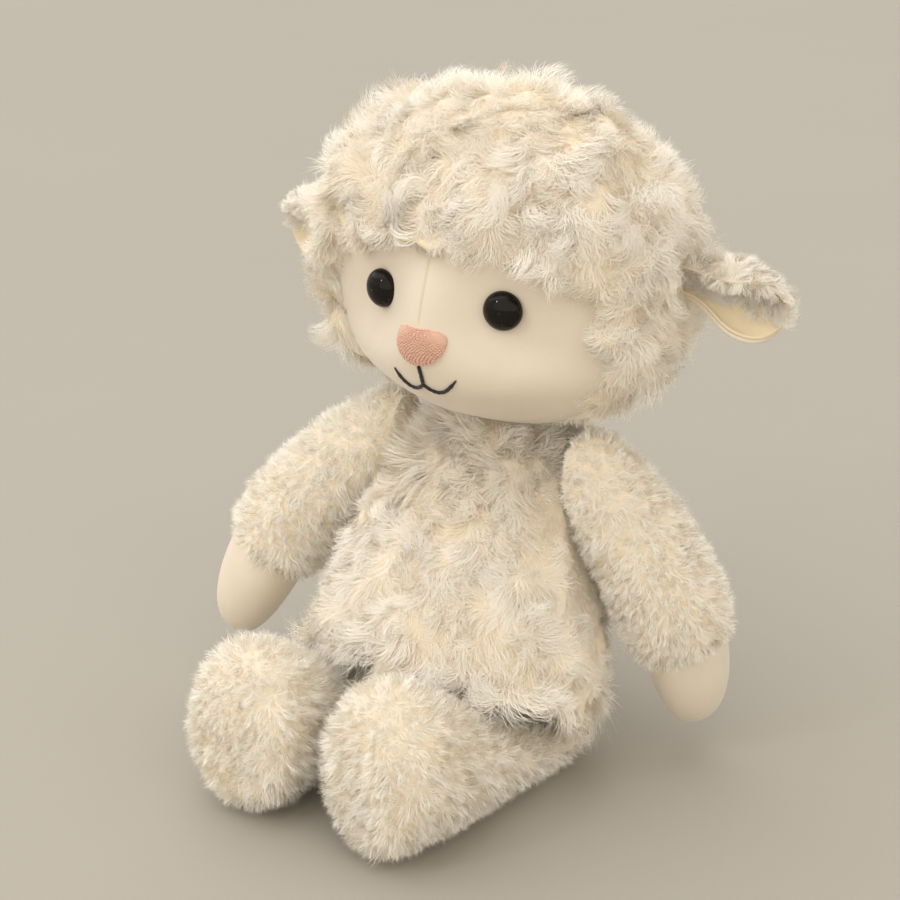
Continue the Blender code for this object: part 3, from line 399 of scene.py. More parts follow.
def sectors(place, centre, count):
    """Roots in so many equal shares, side by side around an upright line through the centre."""
    turn = np.arctan2(place[:, 0] - centre[0], centre[1] - place[:, 1])
    return np.array_split(np.argsort(turn), count)


def wool(name, roots, pile, seed, body, slot, length=None, flat=0.0, fly=0.06, floor=None,
         gathered=None, painted_light=0.0):
    """Pile made of locks: fibres that lean, curl and draw together about the middle of their lock.

    Length, and flat for how much further a fibre leans, are numbers for each root. Fly is the
    share of fibres that stand away from the rest. Roots that are gathered already bring the
    middle of each lock and the lock of each root.
    """
    place, normal, lay, relief = roots
    rng = np.random.default_rng(seed)
    count = len(place)
    length = np.full(count, pile.length) if length is None else length
    if gathered is None:
        middles = rng.choice(count, max(8, int(count / pile.lock)), replace=False)
        mine, _ = nearest(place[middles], place)
    else:
        middles, mine = gathered

    n = len(middles)
    turn = rng.normal(0.0, pile.wander, n)
    tilt = rng.normal(0.0, LOCK_TILT, n)
    coil = pile.curl * rng.choice((-1.0, 1.0), n) * rng.uniform(*LOCK_COIL, n)
    stretch = rng.uniform(*LOCK_STRETCH, n)
    tone = rng.normal(0.0, LOCK_TONE, n)
    flat = np.broadcast_to(flat, count)

    def paths(which, group, loose):
        k = len(which)
        direction = lay[which] - normal[which] * (lay[which] * normal[which]).sum(1, keepdims=True)
        direction = rotated(unit(direction), normal[which],
                            turn[group] + rng.normal(0, FIBRE_TURN * loose, k))
        bend = tilt[group] + flat[which] + rng.normal(0.0, FIBRE_BEND * loose, k)
        bend = bend - FLY_BEND * loose * (rng.random(k) < fly)
        reach = length[which] * stretch[group] * (1 + rng.normal(0.0, FIBRE_STRETCH * loose, k))
        lean = (pile.lean[0] + bend, pile.lean[1] + bend)
        return grow(place[which], normal[which], direction, reach, lean,
                    coil[group] + rng.normal(0.0, FIBRE_COIL * loose, k), pile.steps)

    guides = paths(middles, np.arange(n), 0.0)
    path = paths(np.arange(count), mine, 1.0)
    t = np.linspace(0.0, 1.0, pile.steps + 1)
    pull = pile.tight * t ** 1.4 * rng.uniform(0.3, 1.0, (count, 1))
    path += (guides[mine] - path) * pull[..., None]
    if floor is not None:
        path[..., 2] = np.maximum(path[..., 2], floor)
    # Painted shade: the shade column falls in the creases of the relief and rises on the tufts;
    # painted light lifts it further on curls that stand out; locks and fibres also differ in tone
    # at random
    shade = 0.5 + painted_light + RELIEF_PAINTED_SHADE * relief + tone[mine] + rng.normal(0.0, FIBRE_TONE, count)
    width = pile.width * rng.uniform(*FIBRE_WIDTHS, count)
    material = FLEECE if slot == "fleece" else WOOL
    fit(ribbons(name, path, normal, width, shade, material, rng), body, slot)


def wool_in_sectors(name, roots, pile, length, flat, body, count, seed, floor=None):
    """A long wool coat in so many pieces, side by side round the neck."""
    for i, sector in enumerate(sectors(roots[0], NECK, count)):
        wool(f"{name}_{i + 1}", pick(roots, sector), pile, seed + 100 * i, body, "wool",
             length[sector], flat[sector], floor=floor)


def separate_curls(name, roots, pile, body, radius, seed):
    """Single long curls that stand out of a coat."""
    locks, gathered = gather(roots, radius, seed)
    # Painted light: these curls stand out of the coat, so their shade is lifted towards the pale
    # tuft colour
    wool(name, locks, pile, seed + 1, body, "wool", fly=0.0, gathered=gathered, painted_light=0.08)


def ribbons(name, path, facing, width, shade, material, rng):
    """Fibres as narrow ribbons that end in a point, turned to face away from the cloth.

    Their map has one column for each shade, from the painted shade of the fibres in the creases
    to the pale fibres on the tufts, and runs from the root up to the tip.
    """
    count, points = path.shape[:2]
    along = unit(np.gradient(path, axis=1))
    look = unit(facing + rng.normal(0.0, 0.08, (count, 3)))[:, None]
    side = unit(np.cross(along, look) + 1e-4)
    t = np.linspace(0.0, 1.0, points)
    half = (width[:, None] / 2.0 * (1.0 - 0.55 * t ** 1.5))[..., None]
    left, right = (path - side * half)[:, :-1], (path + side * half)[:, :-1]
    verts = np.concatenate([np.stack([left, right], 2).reshape(count, -1, 3), path[:, -1:]], 1)

    per = verts.shape[1]
    quads = np.arange(points - 2) * 2
    corners = np.concatenate([
        np.stack([quads, quads + 1, quads + 3, quads + 2], 1).ravel(), [per - 3, per - 2, per - 1]])
    starts = np.concatenate([np.arange(points - 2) * 4, [4 * (points - 2)]])
    loops = (corners[None] + np.arange(count)[:, None] * per).ravel()
    starts = (starts[None] + np.arange(count)[:, None] * len(corners)).ravel()

    climb = np.append(np.repeat(t[:-1], 2), 1.0)[corners]
    edge = np.append(np.tile([0.1, 0.9], points - 1), 0.5)[corners]
    column = np.clip((shade * SHADES).astype(int), 0, SHADES - 1)
    across = (column[:, None] + edge[None]) / SHADES
    upward = np.broadcast_to(climb[None] * 0.98 + 0.01, across.shape)

    mesh = bpy.data.meshes.new(name)
    mesh.vertices.add(count * per)
    mesh.vertices.foreach_set("co", (verts * MM).astype(np.float32).ravel())
    mesh.loops.add(len(loops))
    mesh.loops.foreach_set("vertex_index", loops.astype(np.int32))
    mesh.polygons.add(len(starts))
    mesh.polygons.foreach_set("loop_start", starts.astype(np.int32))
    layer = mesh.uv_layers.new(name="OFBake")
    layer.uv.foreach_set("vector", np.stack([across, upward], -1).astype(np.float32).ravel())
    mesh.update(calc_edges=True)
    mesh.shade_smooth()
    mesh.materials.append(material)
    return new_object(name, mesh)


# Materials

def feed(tree, made, inputs):
    """Give a node's inputs, by name or number, the sockets or the values they take."""
    for name, value in inputs.items():
        socket = made.inputs[name.replace("_", " ") if isinstance(name, str) else name]
        if isinstance(value, bpy.types.NodeSocket):
            tree.links.new(value, socket)
        else:
            socket.default_value = (*value, 1.0) if socket.type == "RGBA" else value


def new_node(tree, kind, settings=None, inputs=None):
    """A shader node with its settings and inputs."""
    made = tree.nodes.new("ShaderNode" + kind)
    for name, value in (settings or {}).items():
        setattr(made, name, value)
    feed(tree, made, inputs or {})
    return made


def node(tree, kind, out=0, settings=None, **inputs):
    """One output of a new node."""
    return new_node(tree, kind, settings, inputs).outputs[out]


def grouped(tree, group, **inputs):
    """The outputs of a group's node."""
    return new_node(tree, "Group", {"node_tree": group}, inputs).outputs


def mixed(tree, factor, first, second):
    """Two colours mixed."""
    return new_node(tree, "Mix", {"data_type": "RGBA"}, {0: factor, 6: first, 7: second}).outputs[2]


def reckon(tree, operation, *values):
    """A sum of the given kind."""
    return new_node(tree, "Math", {"operation": operation}, dict(enumerate(values))).outputs[0]


def new_group(name, inputs, effect):
    """A node group with number inputs and outputs, which the effect makes of them."""
    group = bpy.data.node_groups.new(name, "ShaderNodeTree")
    for label, value in inputs.items():
        socket = group.interface.new_socket(
            name=label, in_out="INPUT", socket_type="NodeSocketFloat")
        socket.default_value = value
    gives = effect(group, group.nodes.new("NodeGroupInput").outputs)
    for label in gives:
        group.interface.new_socket(name=label, in_out="OUTPUT", socket_type="NodeSocketFloat")
    feed(group, group.nodes.new("NodeGroupOutput"), gives)
    return group


def fibre_effect(group, given):
    """How far out of the creases a fibre grows, how far up it a point is, and its fine hairs."""
    spot = node(group, "UVMap", settings={"uv_map": "OFBake"})
    parts = new_node(group, "SeparateXYZ", inputs={"Vector": spot}).outputs
    column = reckon(group, "MULTIPLY", parts["X"], float(SHADES))
    across = reckon(group, "MULTIPLY", column, given["Hairs"])
    stretched = node(group, "CombineXYZ", X=across, Y=reckon(group, "MULTIPLY", parts["Y"], 2.5))
    hair = node(group, "TexNoise", 0, {"noise_dimensions": "2D"},
                Vector=stretched, Scale=1.0, Detail=2.0)
    return {"Tuft": parts["X"], "Tip": parts["Y"], "Hair": hair}


def nap_effect(group, given):
    """The short pile of a smooth plush: fine grain, and soft patches where it was stroked."""
    spot = node(group, "TexCoord", "Object")
    grain = node(group, "TexNoise", Vector=spot, Scale=given["Grain"], Detail=3.0, Roughness=0.6)
    wide = reckon(group, "MULTIPLY", given["Grain"], 0.22)
    coarse = node(group, "TexNoise", Vector=spot, Scale=wide, Detail=2.0)
    patch = node(group, "TexNoise", Vector=spot, Scale=given["Patches"], Detail=3.0, Distortion=0.6)
    height = reckon(group, "MULTIPLY_ADD", coarse, 0.5, grain)
    return {"Height": height, "Patch": patch, "Speck": grain}


def new_material(name, roughness, sheen=0.0, sheen_roughness=0.5, specular=0.3):
    """A material's tree, its Principled shader and the material itself."""
    material = bpy.data.materials.new(name)
    material.use_nodes = True
    tree = material.node_tree
    shader = tree.nodes["Principled BSDF"]
    feed(tree, shader, {
        "Roughness": roughness, "Sheen Weight": sheen, "Sheen Roughness": sheen_roughness,
        "Sheen Tint": (1.0, 1.0, 1.0), "Specular IOR Level": specular})
    return tree, shader, material


def fibre_material(name, crease, root, tip, hairs):
    """Pile: darker and warmer in the creases and at the roots, as painted shade of the deep pile,
    and pale on the tufts and at the tips.
    """
    tree, shader, material = new_material(name, 0.75, sheen=0.25, sheen_roughness=0.45)
    fibre = grouped(tree, FIBRE, Hairs=hairs)
    # Painted shade: the roots, deep in the pile, take the darker, warmer root colour
    shade = mixed(tree, reckon(tree, "POWER", fibre["Tip"], 0.7), root, tip)
    tuft = node(tree, "MapRange", 0, {"interpolation_type": "SMOOTHSTEP"}, Value=fibre["Tuft"],
                From_Min=0.12, From_Max=0.62)
    shade = mixed(tree, tuft, crease, shade)
    dark = tuple(0.93 * c for c in tip)
    shade = mixed(tree, reckon(tree, "MULTIPLY", fibre["Hair"], 0.3), shade, dark)
    feed(tree, shader, {"Base Color": shade,
                        "Roughness": reckon(tree, "MULTIPLY_ADD", fibre["Hair"], 0.3, 0.6)})
    return material


def nap_material(name, base, stroked, grain, depth):
    """A smooth short plush."""
    tree, shader, material = new_material(name, 0.85, sheen=0.35, sheen_roughness=0.4)
    nap = grouped(tree, NAP, Grain=grain, Patches=55.0)
    patch = node(tree, "MapRange", Value=nap["Patch"], From_Min=0.35, From_Max=0.68)
    shade = mixed(tree, patch, base, stroked)
    speck = node(tree, "MapRange", Value=nap["Speck"], From_Min=0.25, From_Max=0.75)
    dark = tuple(0.88 * c for c in base)
    shade = mixed(tree, reckon(tree, "MULTIPLY", speck, 0.35), shade, dark)
    feed(tree, shader, {
        "Base Color": shade, "Roughness": reckon(tree, "MULTIPLY_ADD", nap["Speck"], 0.25, 0.7),
        "Normal": node(tree, "Bump", Height=nap["Height"], Strength=0.35, Distance=depth)})
    return material


FIBRE = new_group("fibre", {"Hairs": 5.0}, fibre_effect)
NAP = new_group("nap", {"Grain": 2400.0, "Patches": 55.0}, nap_effect)

# The crease and root colours are painted shade of the deep pile; the tip colour is the pile's own
WOOL = fibre_material(
    "long_wool", (0.945, 0.83, 0.65), (0.96, 0.885, 0.755), (0.975, 0.95, 0.895), hairs=3.0)
FLEECE = fibre_material(
    "short_fleece", (0.95, 0.875, 0.74), (0.96, 0.91, 0.81), (0.975, 0.955, 0.905), hairs=2.0)
# Painted shade: the backing under the pile is darker and warmer than the fibres, standing in for
# the shade deep in the pile
BACKING = nap_material(
    "backing_in_painted_pile_shade", (0.95, 0.85, 0.69), (0.93, 0.82, 0.65), grain=1500.0, depth=0.0005)
MINKY = nap_material(
    "smooth_face_plush", (0.80, 0.715, 0.595), (0.77, 0.68, 0.555), grain=2600.0, depth=0.00012)
LINING = nap_material(
    "ear_lining_plush", (0.86, 0.74, 0.53), (0.82, 0.69, 0.48), grain=2600.0, depth=0.00012)


# Camera at the photograph's angle, with the lens that gives its size in the frame
AZIMUTH, ELEVATION = math.radians(34), math.radians(21)
TARGET, DISTANCE, LENS = Vector((-0.00047, 0.0, 0.10236)), 0.58482, 76.0


def placed(name, data, place, toward):
    """An object in the scene at a place, turned to look in a direction."""
    made = new_object(name, data)
    made.location = place
    made.rotation_euler = toward.to_track_quat("-Z", "Y").to_euler()
    return made


def set_camera():
    data = bpy.data.cameras.new("view")
    data.lens = LENS
    data.clip_start = 0.01
    data.clip_end = 50.0
    level_reach = math.cos(ELEVATION)
    away = Vector((math.sin(AZIMUTH) * level_reach, -math.cos(AZIMUTH) * level_reach,
                   math.sin(ELEVATION)))
    bpy.context.scene.camera = placed("view", data, TARGET + away * DISTANCE, -away)


# Body

def in_lap(points):
    """Which points are in the room that the legs need under the belly."""
    found = np.zeros(points.shape[:-1], bool)
    for side in (LEFT, RIGHT):
        away = points - HIP[side]
        reach = np.hypot(away[..., 0], away[..., 1])
        ceiling = np.minimum(LAP_CEILING, LAP_HEIGHT + LAP_RISE * reach) + 1.0
        turn = np.arctan2(away[..., 0], -away[..., 1])
        first = LEG_TURN[side] if side == LEFT else LEG_TURN[side] - LEG_SPLAY
        opening = np.where(reach < LAP_NARROWS, LAP_OPEN_NEAR, LAP_OPEN_FAR)
        ahead = (turn > first - opening) & (turn < first + LEG_SPLAY + opening)
        found |= ahead & (reach > LAP_NEAR) & (reach < LAP_FAR) & (away[..., 2] < ceiling)
        found |= (reach < HIP_ROOM_WIDE) & (away[..., 2] < HIP_ROOM_HIGH)
    return found


def flank(points, side):
    """How far out the cone in which an arm swings lies beside points."""
    away = points - SHOULDER[side]
    return FLANK_OUT + FLANK_RISE * np.hypot(away[..., 1], away[..., 2])


def past_flank(points, clearance):
    """How far points stand past the cones of both arms."""
    over = [side * points[..., 0] - (flank(points, side) - clearance) for side in HANDS]
    return np.maximum(*over)


def body_form():
    """The body's cloth, sunk by its pile, hollowed for the legs, the arms and the neck."""
    rings = []
    for height, width, depth, recline in BODY_RINGS:
        z = min(max(height * BODY_TALL, 1.0), BODY_TALL - BODY_PILE)
        rings.append(level(0.0, recline * BODY_RECLINE, z, width * BODY_WIDE / 2 - BODY_PILE,
                           depth * BODY_DEEP / 2 - BODY_PILE))
    form = loft(shut(rings), along=190, around=240)
    relief = lumps(form, TUFT_SIZE, 43)
    form += Cloth(form).normals * (BODY_RELIEF * relief * ease(form[..., 2], 2.0, 9.0))[..., None]
    form[..., 0] -= np.sign(form[..., 0]) * np.maximum(past_flank(form, FLANK_ROOM), 0.0)

    reach = form - BODY_MIDDLE
    hit = np.ones(form.shape[:2])
    found = np.zeros(form.shape[:2], bool)
    for share in np.linspace(0.05, 1.0, 140):
        inside = in_lap(BODY_MIDDLE + reach * share) & ~found
        hit[inside] = share
        found |= inside
    form = BODY_MIDDLE + reach * hit[..., None]

    around = np.hypot(form[..., 0] - NECK[0], form[..., 1] - NECK[1])
    bowl = NECK[2] - np.sqrt(np.maximum(NECK_BOWL ** 2 - around ** 2, 0.0))
    in_bowl = (form[..., 2] > 80.0) & (around < NECK_BOWL)
    form[..., 2] = np.where(in_bowl, np.minimum(form[..., 2], bowl), form[..., 2])
    return form, relief


def lay_down(place, normal, down, seed, size, amount):
    """The lay of a pile: down the cloth, turned this way and that over the size."""
    flat = down - normal * (down * normal).sum(1, keepdims=True)
    flat = unit(flat + np.cross(normal, flat) * 1e-6)
    return rotated(flat, normal, amount * drift(place, size, seed))


def rooted(cloth, density, draws, seed, size, amount, aim=lambda down: down):
    """Roots on a cloth: their places, normals and lay, and the relief of the cloth there.

    Draws is the seed or the generator that places them, and seed that of the turns of their lay.
    """
    place, normal, down, relief = cloth.scatter(density, np.random.default_rng(draws))
    return place, normal, lay_down(place, normal, aim(down), seed, size, amount), relief


def make_body():
    form, relief = body_form()
    cloth = Cloth(form, relief=relief)
    fit(cloth.piece("body_cloth", BACKING), "torso", "wool",
        "body_skin", "body_filling", "pellet_pouch", fill=0.7)

    def density(middle, normal):
        kept = middle[..., 2] > 1.5
        kept &= ~in_lap(middle + normal * LAP_LOOK) | (np.abs(normal[..., 2]) > 0.5)
        around = np.hypot(middle[..., 0], middle[..., 1] - NECK[1])
        bowl = np.linalg.norm(middle - NECK, axis=-1) < NECK_BALL + 1.6
        kept &= ~(bowl & (middle[..., 2] > 70.0) & (around < NECK_BALL + 0.5))
        return BODY_WOOL.density * kept

    roots = rooted(cloth, density, draws=11, seed=21, size=26.0, amount=1.0,
                   aim=lambda down: np.where(down[:, 2:] > 0, -down, down))
    place, normal = roots[:2]
    height = place[:, 2]
    clear = ease(-past_flank(place, 0.0), 1.7, 8.0)
    length = BODY_WOOL.length * (1.0 + 0.12 * drift(place, 14.0, 22))
    length *= 0.55 + 0.45 * clear
    length *= 0.62 + 0.38 * ease(height, 4.0, 16.0) + 0.5 * clear * ease(height, 78.0, 92.0)
    ceiling = in_lap(place + normal * LAP_LOOK)
    above_lap = ~ceiling & in_lap(place - normal * LAP_LOOK - np.array([0.0, 0.0, 5.5]))
    length = np.where(ceiling, 3.0, length * (1.0 + 0.85 * above_lap))
    flat = 0.15 * (1.0 - clear) - 0.55 * ease(height, 84.0, 97.0) + 0.3 * ceiling
    wool_in_sectors("body_wool", roots, BODY_WOOL, length, flat, "torso",
                    count=3, seed=31, floor=WOOL_FLOOR)
    open_roots = pick(roots, (clear > 0.9) & ~ceiling & (height > 14.0))
    separate_curls("body_curls", open_roots, BODY_CURLS, "torso", radius=3.6, seed=35)


def make_neck():
    rings = []
    for angle in np.linspace(math.radians(88), math.radians(-50), 24):
        half = NECK_BALL * math.cos(angle)
        rings.append(level(*NECK[:2], NECK[2] + NECK_BALL * math.sin(angle), half, half))
    rings.append(level(*NECK[:2], NECK[2] - 25.0, 13.0, 13.0))
    cloth = Cloth(loft(rings, along=40, around=48))
    fit(cloth.piece("neck_cloth", BACKING), "neck", "fibre", "neck_filling", fill=0.9)

    def density(middle, normal):
        shows = (middle[..., 2] > NECK_SHOWS[0]) & (middle[..., 2] < NECK_SHOWS[1])
        return NECK_WOOL.density * shows

    roots = rooted(cloth, density, draws=12, seed=23, size=12.0, amount=1.2)
    wool("neck_wool", roots, NECK_WOOL, 32, "neck", "fibre")


def make_tail():
    root = np.array([0.0, BODY_DEEP / 2 - TAIL_PILE, TAIL_HEIGHT])
    along = np.array([0.0, math.cos(TAIL_TILT), -math.sin(TAIL_TILT)])
    upward = np.array([0.0, math.sin(TAIL_TILT), math.cos(TAIL_TILT)])
    rings = []
    for distance, width in TAIL_RINGS:
        half = width * TAIL_WIDE / 2 - TAIL_PILE
        centre = root + along * (distance * (TAIL_LONG - 1.0))
        rings.append(np.concatenate([centre, [half, 0, 0], upward * half]))
    cloth = Cloth(loft(shut(rings), along=40, around=40))
    fit(cloth.piece("tail_cloth", BACKING), "torso", "wool", "tail", fill=0.8)
    roots = rooted(cloth, TAIL_WOOL.density, draws=13, seed=24, size=9.0, amount=0.7)
    wool("tail_wool", roots, TAIL_WOOL, 33, "torso", "wool", floor=WOOL_FLOOR)


# Head

def muzzle(x, z):
    """How far the muzzle stands forward."""
    rise = z - MUZZLE_HEIGHT
    spread = np.where(rise > 0.0, MUZZLE_ABOVE, MUZZLE_BELOW)
    width = MUZZLE_NARROW + (MUZZLE_BROAD - MUZZLE_NARROW) * np.exp(-(rise / MUZZLE_TAPER) ** 2)
    return MUZZLE_PROUD * np.exp(-(rise / spread) ** 2) * np.exp(-(x / width) ** 2)


def head_form(directions, raised):
    """The head's cloth in the directions from its middle, raised or sunk."""
    half = np.stack([
        np.full(directions.shape[:-1], HEAD_HALF_WIDE),
        np.where(directions[..., 1] < 0, HEAD_FRONT, HEAD_BACK),
        np.where(directions[..., 2] > 0, HEAD_UP, HEAD_DOWN)], -1)
    power = (SQUARENESS - BACK_ROUNDER * np.maximum(directions[..., 1], 0.0))[..., None]
    spread = (np.abs(directions / half) ** power).sum(-1, keepdims=True)
    point = directions * spread ** (-1.0 / power)
    normal = unit(np.sign(point) * np.abs(point / half) ** (power - 1.0) / half)
    point = point + normal * raised + HEAD
    forward = np.sqrt(np.maximum(-directions[..., 1], 0.0))
    point[..., 1] -= muzzle(point[..., 0], point[..., 2]) * forward
    return point


def face_front(x, z):
    """The y of the face's cloth in front of a point of the face."""
    rise = z - HEAD[2]
    half = np.where(rise > 0, HEAD_UP, HEAD_DOWN)
    rest = 1.0 - np.abs(x / HEAD_HALF_WIDE) ** SQUARENESS - np.abs(rise / half) ** SQUARENESS
    depth = HEAD_FRONT * np.maximum(rest, 1e-6) ** (1.0 / SQUARENESS)
    facing = depth / np.sqrt(x ** 2 + depth ** 2 + rise ** 2)
    return HEAD[1] - depth - muzzle(x, z) * np.sqrt(facing)


def past_face(points):
    """How far round the head points lie from the bare face: under 1 on it, over 1 in the wool."""
    x, y, rise = points[..., 0], points[..., 1], points[..., 2] - FACE_HEIGHT
    wavy = 1.0 + 0.035 * drift(points, 15.0, 41)
    upper = (np.abs(x / FACE_HALF_WIDE) ** 3 + np.abs(rise / FACE_UP) ** 3) ** (1 / 3)
    lower = (np.abs(x / FACE_HALF_WIDE) ** 2.4 + np.abs(rise / FACE_DOWN) ** 2.4) ** (1 / 2.4)
    share = np.where(rise > 0, upper, lower) * wavy
    return np.where(y > FACE_BACK, np.maximum(share, 1.0 + (y - FACE_BACK) / 10.0), share)


def make_head():
    polar = np.linspace(0.001, math.pi - 0.001, 150)[:, None]
    turn = np.linspace(0.0, math.tau, 220, endpoint=False)[None]
    directions = np.stack([
        np.sin(polar) * np.sin(turn), -np.sin(polar) * np.cos(turn),
        np.cos(polar) * np.ones_like(turn)], -1)
    bare = head_form(directions, 0.0)
    full = ease(past_face(bare), 0.97, 1.10) * ease(directions[..., 2], -0.95, -0.35)
    relief = lumps(bare, TUFT_SIZE, 42)
    cheek = ease(-directions[..., 1], -0.1, 0.5) * ease(np.abs(directions[..., 0]), 0.4, 0.75)
    coat = HEAD_COAT + HEAD_RELIEF * relief + CHEEK_COAT * cheek
    form = head_form(directions, (-1.0 + (1.0 + coat) * full)[..., None])
    away = form - NECK
    distance = np.linalg.norm(away, axis=-1, keepdims=True)
    form = np.where(distance < NECK_BOWL, NECK + away / distance * NECK_BOWL, form)
    cloth = Cloth(form, relief=relief)
    fit(cloth.piece("head_cloth", BACKING), "head", "wool",
        "head_cap", "head_filling", "eye_washer_left", "eye_washer_right", fill=0.8)

    def density(middle, normal):
        edge = ease(past_face(middle), 0.95, 1.04)
        return HEAD_WOOL.density * edge * (np.linalg.norm(middle - NECK, axis=-1) > NECK_BALL + 3.0)

    place, normal, lay, relief = rooted(
        cloth, density, draws=14, seed=25, size=24.0, amount=1.0)
    share, height = past_face(place), place[:, 2]
    inward = np.stack([
        -place[:, 0] / 50.0, np.zeros(len(place)), (FACE_HEIGHT - height) / 30.0], -1)
    near = 1.0 - ease(share, 0.98, 1.22)
    comb = (near * (0.8 + 0.2 * ease(height, 140.0, 160.0)))[:, None]
    roots = (place, normal, unit(lay * (1.0 - comb) + unit(inward) * comb * 1.2), relief)
    length = HEAD_WOOL.length * (1.0 + 0.12 * drift(place, 13.0, 26))
    length *= 0.6 + 0.4 * ease(share, 0.97, 1.16)
    length *= 0.5 + 0.5 * ease(height, 108.0, 126.0)
    clear = (share > 1.12) & (height > 122.0)
    for side in (LEFT, RIGHT):
        from_ear = np.linalg.norm(place - EAR_ROOT[side], axis=1)
        length *= 0.35 + 0.65 * ease(from_ear, 9.0, 16.0)
        clear &= from_ear > 17.0
    wool_in_sectors("head_wool", roots, HEAD_WOOL, length, 0.15 * near, "head", count=4, seed=34)
    separate_curls("head_curls", pick(roots, clear), HEAD_CURLS, "head", radius=3.8, seed=37)


def make_face():
    """The smooth face in two halves that turn in at the seam between them."""
    across = np.concatenate([[0.0, 0.10, 0.22, 0.38, 0.6, 0.9], np.linspace(1.3, 78.0, 90)])
    turn, rise = np.radians(across[None]), np.radians(np.linspace(33.0, -66.0, 150)[:, None])
    for side, hand in HANDS.items():
        directions = np.stack([
            side * np.sin(turn) * np.cos(rise), -np.cos(turn) * np.cos(rise),
            np.sin(rise) * np.ones_like(turn)], -1)
        form = head_form(directions, 0.0)
        seam = np.exp(-(np.abs(form[..., 0]) / SEAM_HALF_WIDE) ** 1.5)
        form[..., 1] += SEAM_DEEP * (seam * (0.15 + 0.85 * ease(form[..., 2], 143.0, 150.0)))
        edge = past_face(form)
        form = form + unit(HEAD - form) * (1.6 * ease(edge, 1.10, 1.20))[..., None]
        cloth = Cloth(form, closed=False, inside_out=side == LEFT)
        fit(cloth.piece("face_cloth_" + hand, MINKY), "head", "smooth_cloth", "face_" + hand)


def on_face(x, z, proud):
    """Points that stand proud of the face."""
    x, z = np.asarray(x, float), np.asarray(z, float)
    step = 0.2
    y = face_front(x, z)
    slope_x = (face_front(x + step, z) - face_front(x - step, z)) / (2 * step)
    slope_z = (face_front(x, z + step) - face_front(x, z - step)) / (2 * step)
    normal = unit(np.stack([slope_x, -np.ones_like(x), slope_z], -1))
    return np.stack([x, y, z], -1) + normal * np.asarray(proud)[..., None], normal


# Ears

def ear_points(side, rows, angles, inset):
    """Points of an ear: rows along it, and angles about its fold as shares from edge to edge."""
    along, fold, size = rows.T[..., None]
    angle = EAR_ROLL + fold * math.pi * angles
    y = (EAR_HALF_DEEP * size - inset) * np.cos(angle)
    z = (EAR_HALF_TALL * size - inset) * np.sin(angle) - EAR_DROOP * along ** 2
    local = np.stack([side * along * EAR_LONG * np.ones_like(angle), y, z], -1)
    return turned(local, EAR_TURN[side], "Y") + EAR_ROOT[side]


def ear_height(side, points):
    """Points in the directions of a level ear, and their height over the middle of its fold."""
    local = turned(points - EAR_ROOT[side], -EAR_TURN[side], "Y")
    return local, local[..., 2] + EAR_DROOP * (local[..., 0] / EAR_LONG) ** 2


def ear_layer(side, rows, shares, arc, outer, inner):
    """A layer of an ear from its outer to its inner depth, with round edges."""
    middle, half = (outer + inner) / 2, (inner - outer) / 2
    edge = 1.0 + 0.035 * np.cos(arc)
    turn = np.concatenate([shares, edge, shares[::-1], -edge])
    depth = np.concatenate([np.full(len(shares), outer), middle + half * np.sin(arc),
                            np.full(len(shares), inner), middle - half * np.sin(arc)])
    return Cloth(ear_points(side, rows, turn[None], depth[None]))


def make_ears():
    rows = spline(EAR_ROWS, 90)
    shares = np.linspace(-1.0, 1.0, 61)
    arc = np.linspace(-0.5, 0.5, 7)[1:-1] * math.pi
    for side, hand in HANDS.items():
        body = "ear_" + hand
        back = ear_layer(side, rows, shares, arc, *EAR_BACK_DEPTHS)
        fit(back.piece("ear_cloth_" + hand, MINKY), body, "fleece", "ear_back_" + hand, fill=0.3)
        lining = ear_layer(side, rows, shares, arc, *EAR_LINING_DEPTHS)
        fit(lining.piece("ear_lining_cloth_" + hand, LINING), body,
            "ear_lining", "ear_lining_" + hand)
        rng = np.random.default_rng(51 + side)

        def on_back(middle, normal):
            local, height = ear_height(side, middle)
            lift = height - 0.55 * np.maximum(-local[..., 1], 0.0) + 0.4 * local[..., 1]
            return EAR_BACK.density * ease(lift, -3.0, 2.0)

        def above_fold(middle, normal):
            height = ear_height(side, middle)[1]
            return EAR_FRONT.density * ease(height, EAR_FOLD[side], EAR_FOLD[side] + 2.5)

        skin = Cloth(ear_points(side, rows, shares[None], EAR_BACK_DEPTHS[0]), closed=False)
        skin.turn_out()
        roots = rooted(skin, on_back, rng, seed=53, size=10.0, amount=0.7)
        local = ear_height(side, roots[0])[0]
        length = EAR_BACK.length * (1.0 + 0.15 * drift(roots[0], 6.0, 54))
        length = length * (0.6 + 0.4 * ease(local[:, 1], -9.0, 0.0))
        wool("ear_fleece_" + hand, roots, EAR_BACK, 55 + side, body, "fleece", length)

        front = Cloth(ear_points(side, rows, shares[None], 3.3), closed=False)
        front.turn_out(-1.0)
        roots = rooted(front, above_fold, rng, seed=57, size=9.0, amount=0.5)
        wool("ear_fold_" + hand, roots, EAR_FRONT, 58 + side, body, "fleece")

        edges = ear_points(side, rows, np.array([[-1.0, 1.0]]), 2.0)[40, :, 2]
        upper = 1.0 if edges[1] > edges[0] else -1.0
        rim = Cloth(ear_points(side, rows, upper * (1.0 + 0.05 * np.cos(arc))[None],
                               (EAR_RIM_DEPTH + 1.6 * np.sin(arc))[None]), closed=False)
        rim.turn_out(centre=ear_points(side, rows, np.array([[upper]]), EAR_RIM_DEPTH))
        roots = rooted(rim, EAR_RIM.density, rng, seed=59, size=7.0, amount=0.9)
        wool("ear_edge_" + hand, roots, EAR_RIM, 60 + side, body, "fleece")


# Arms

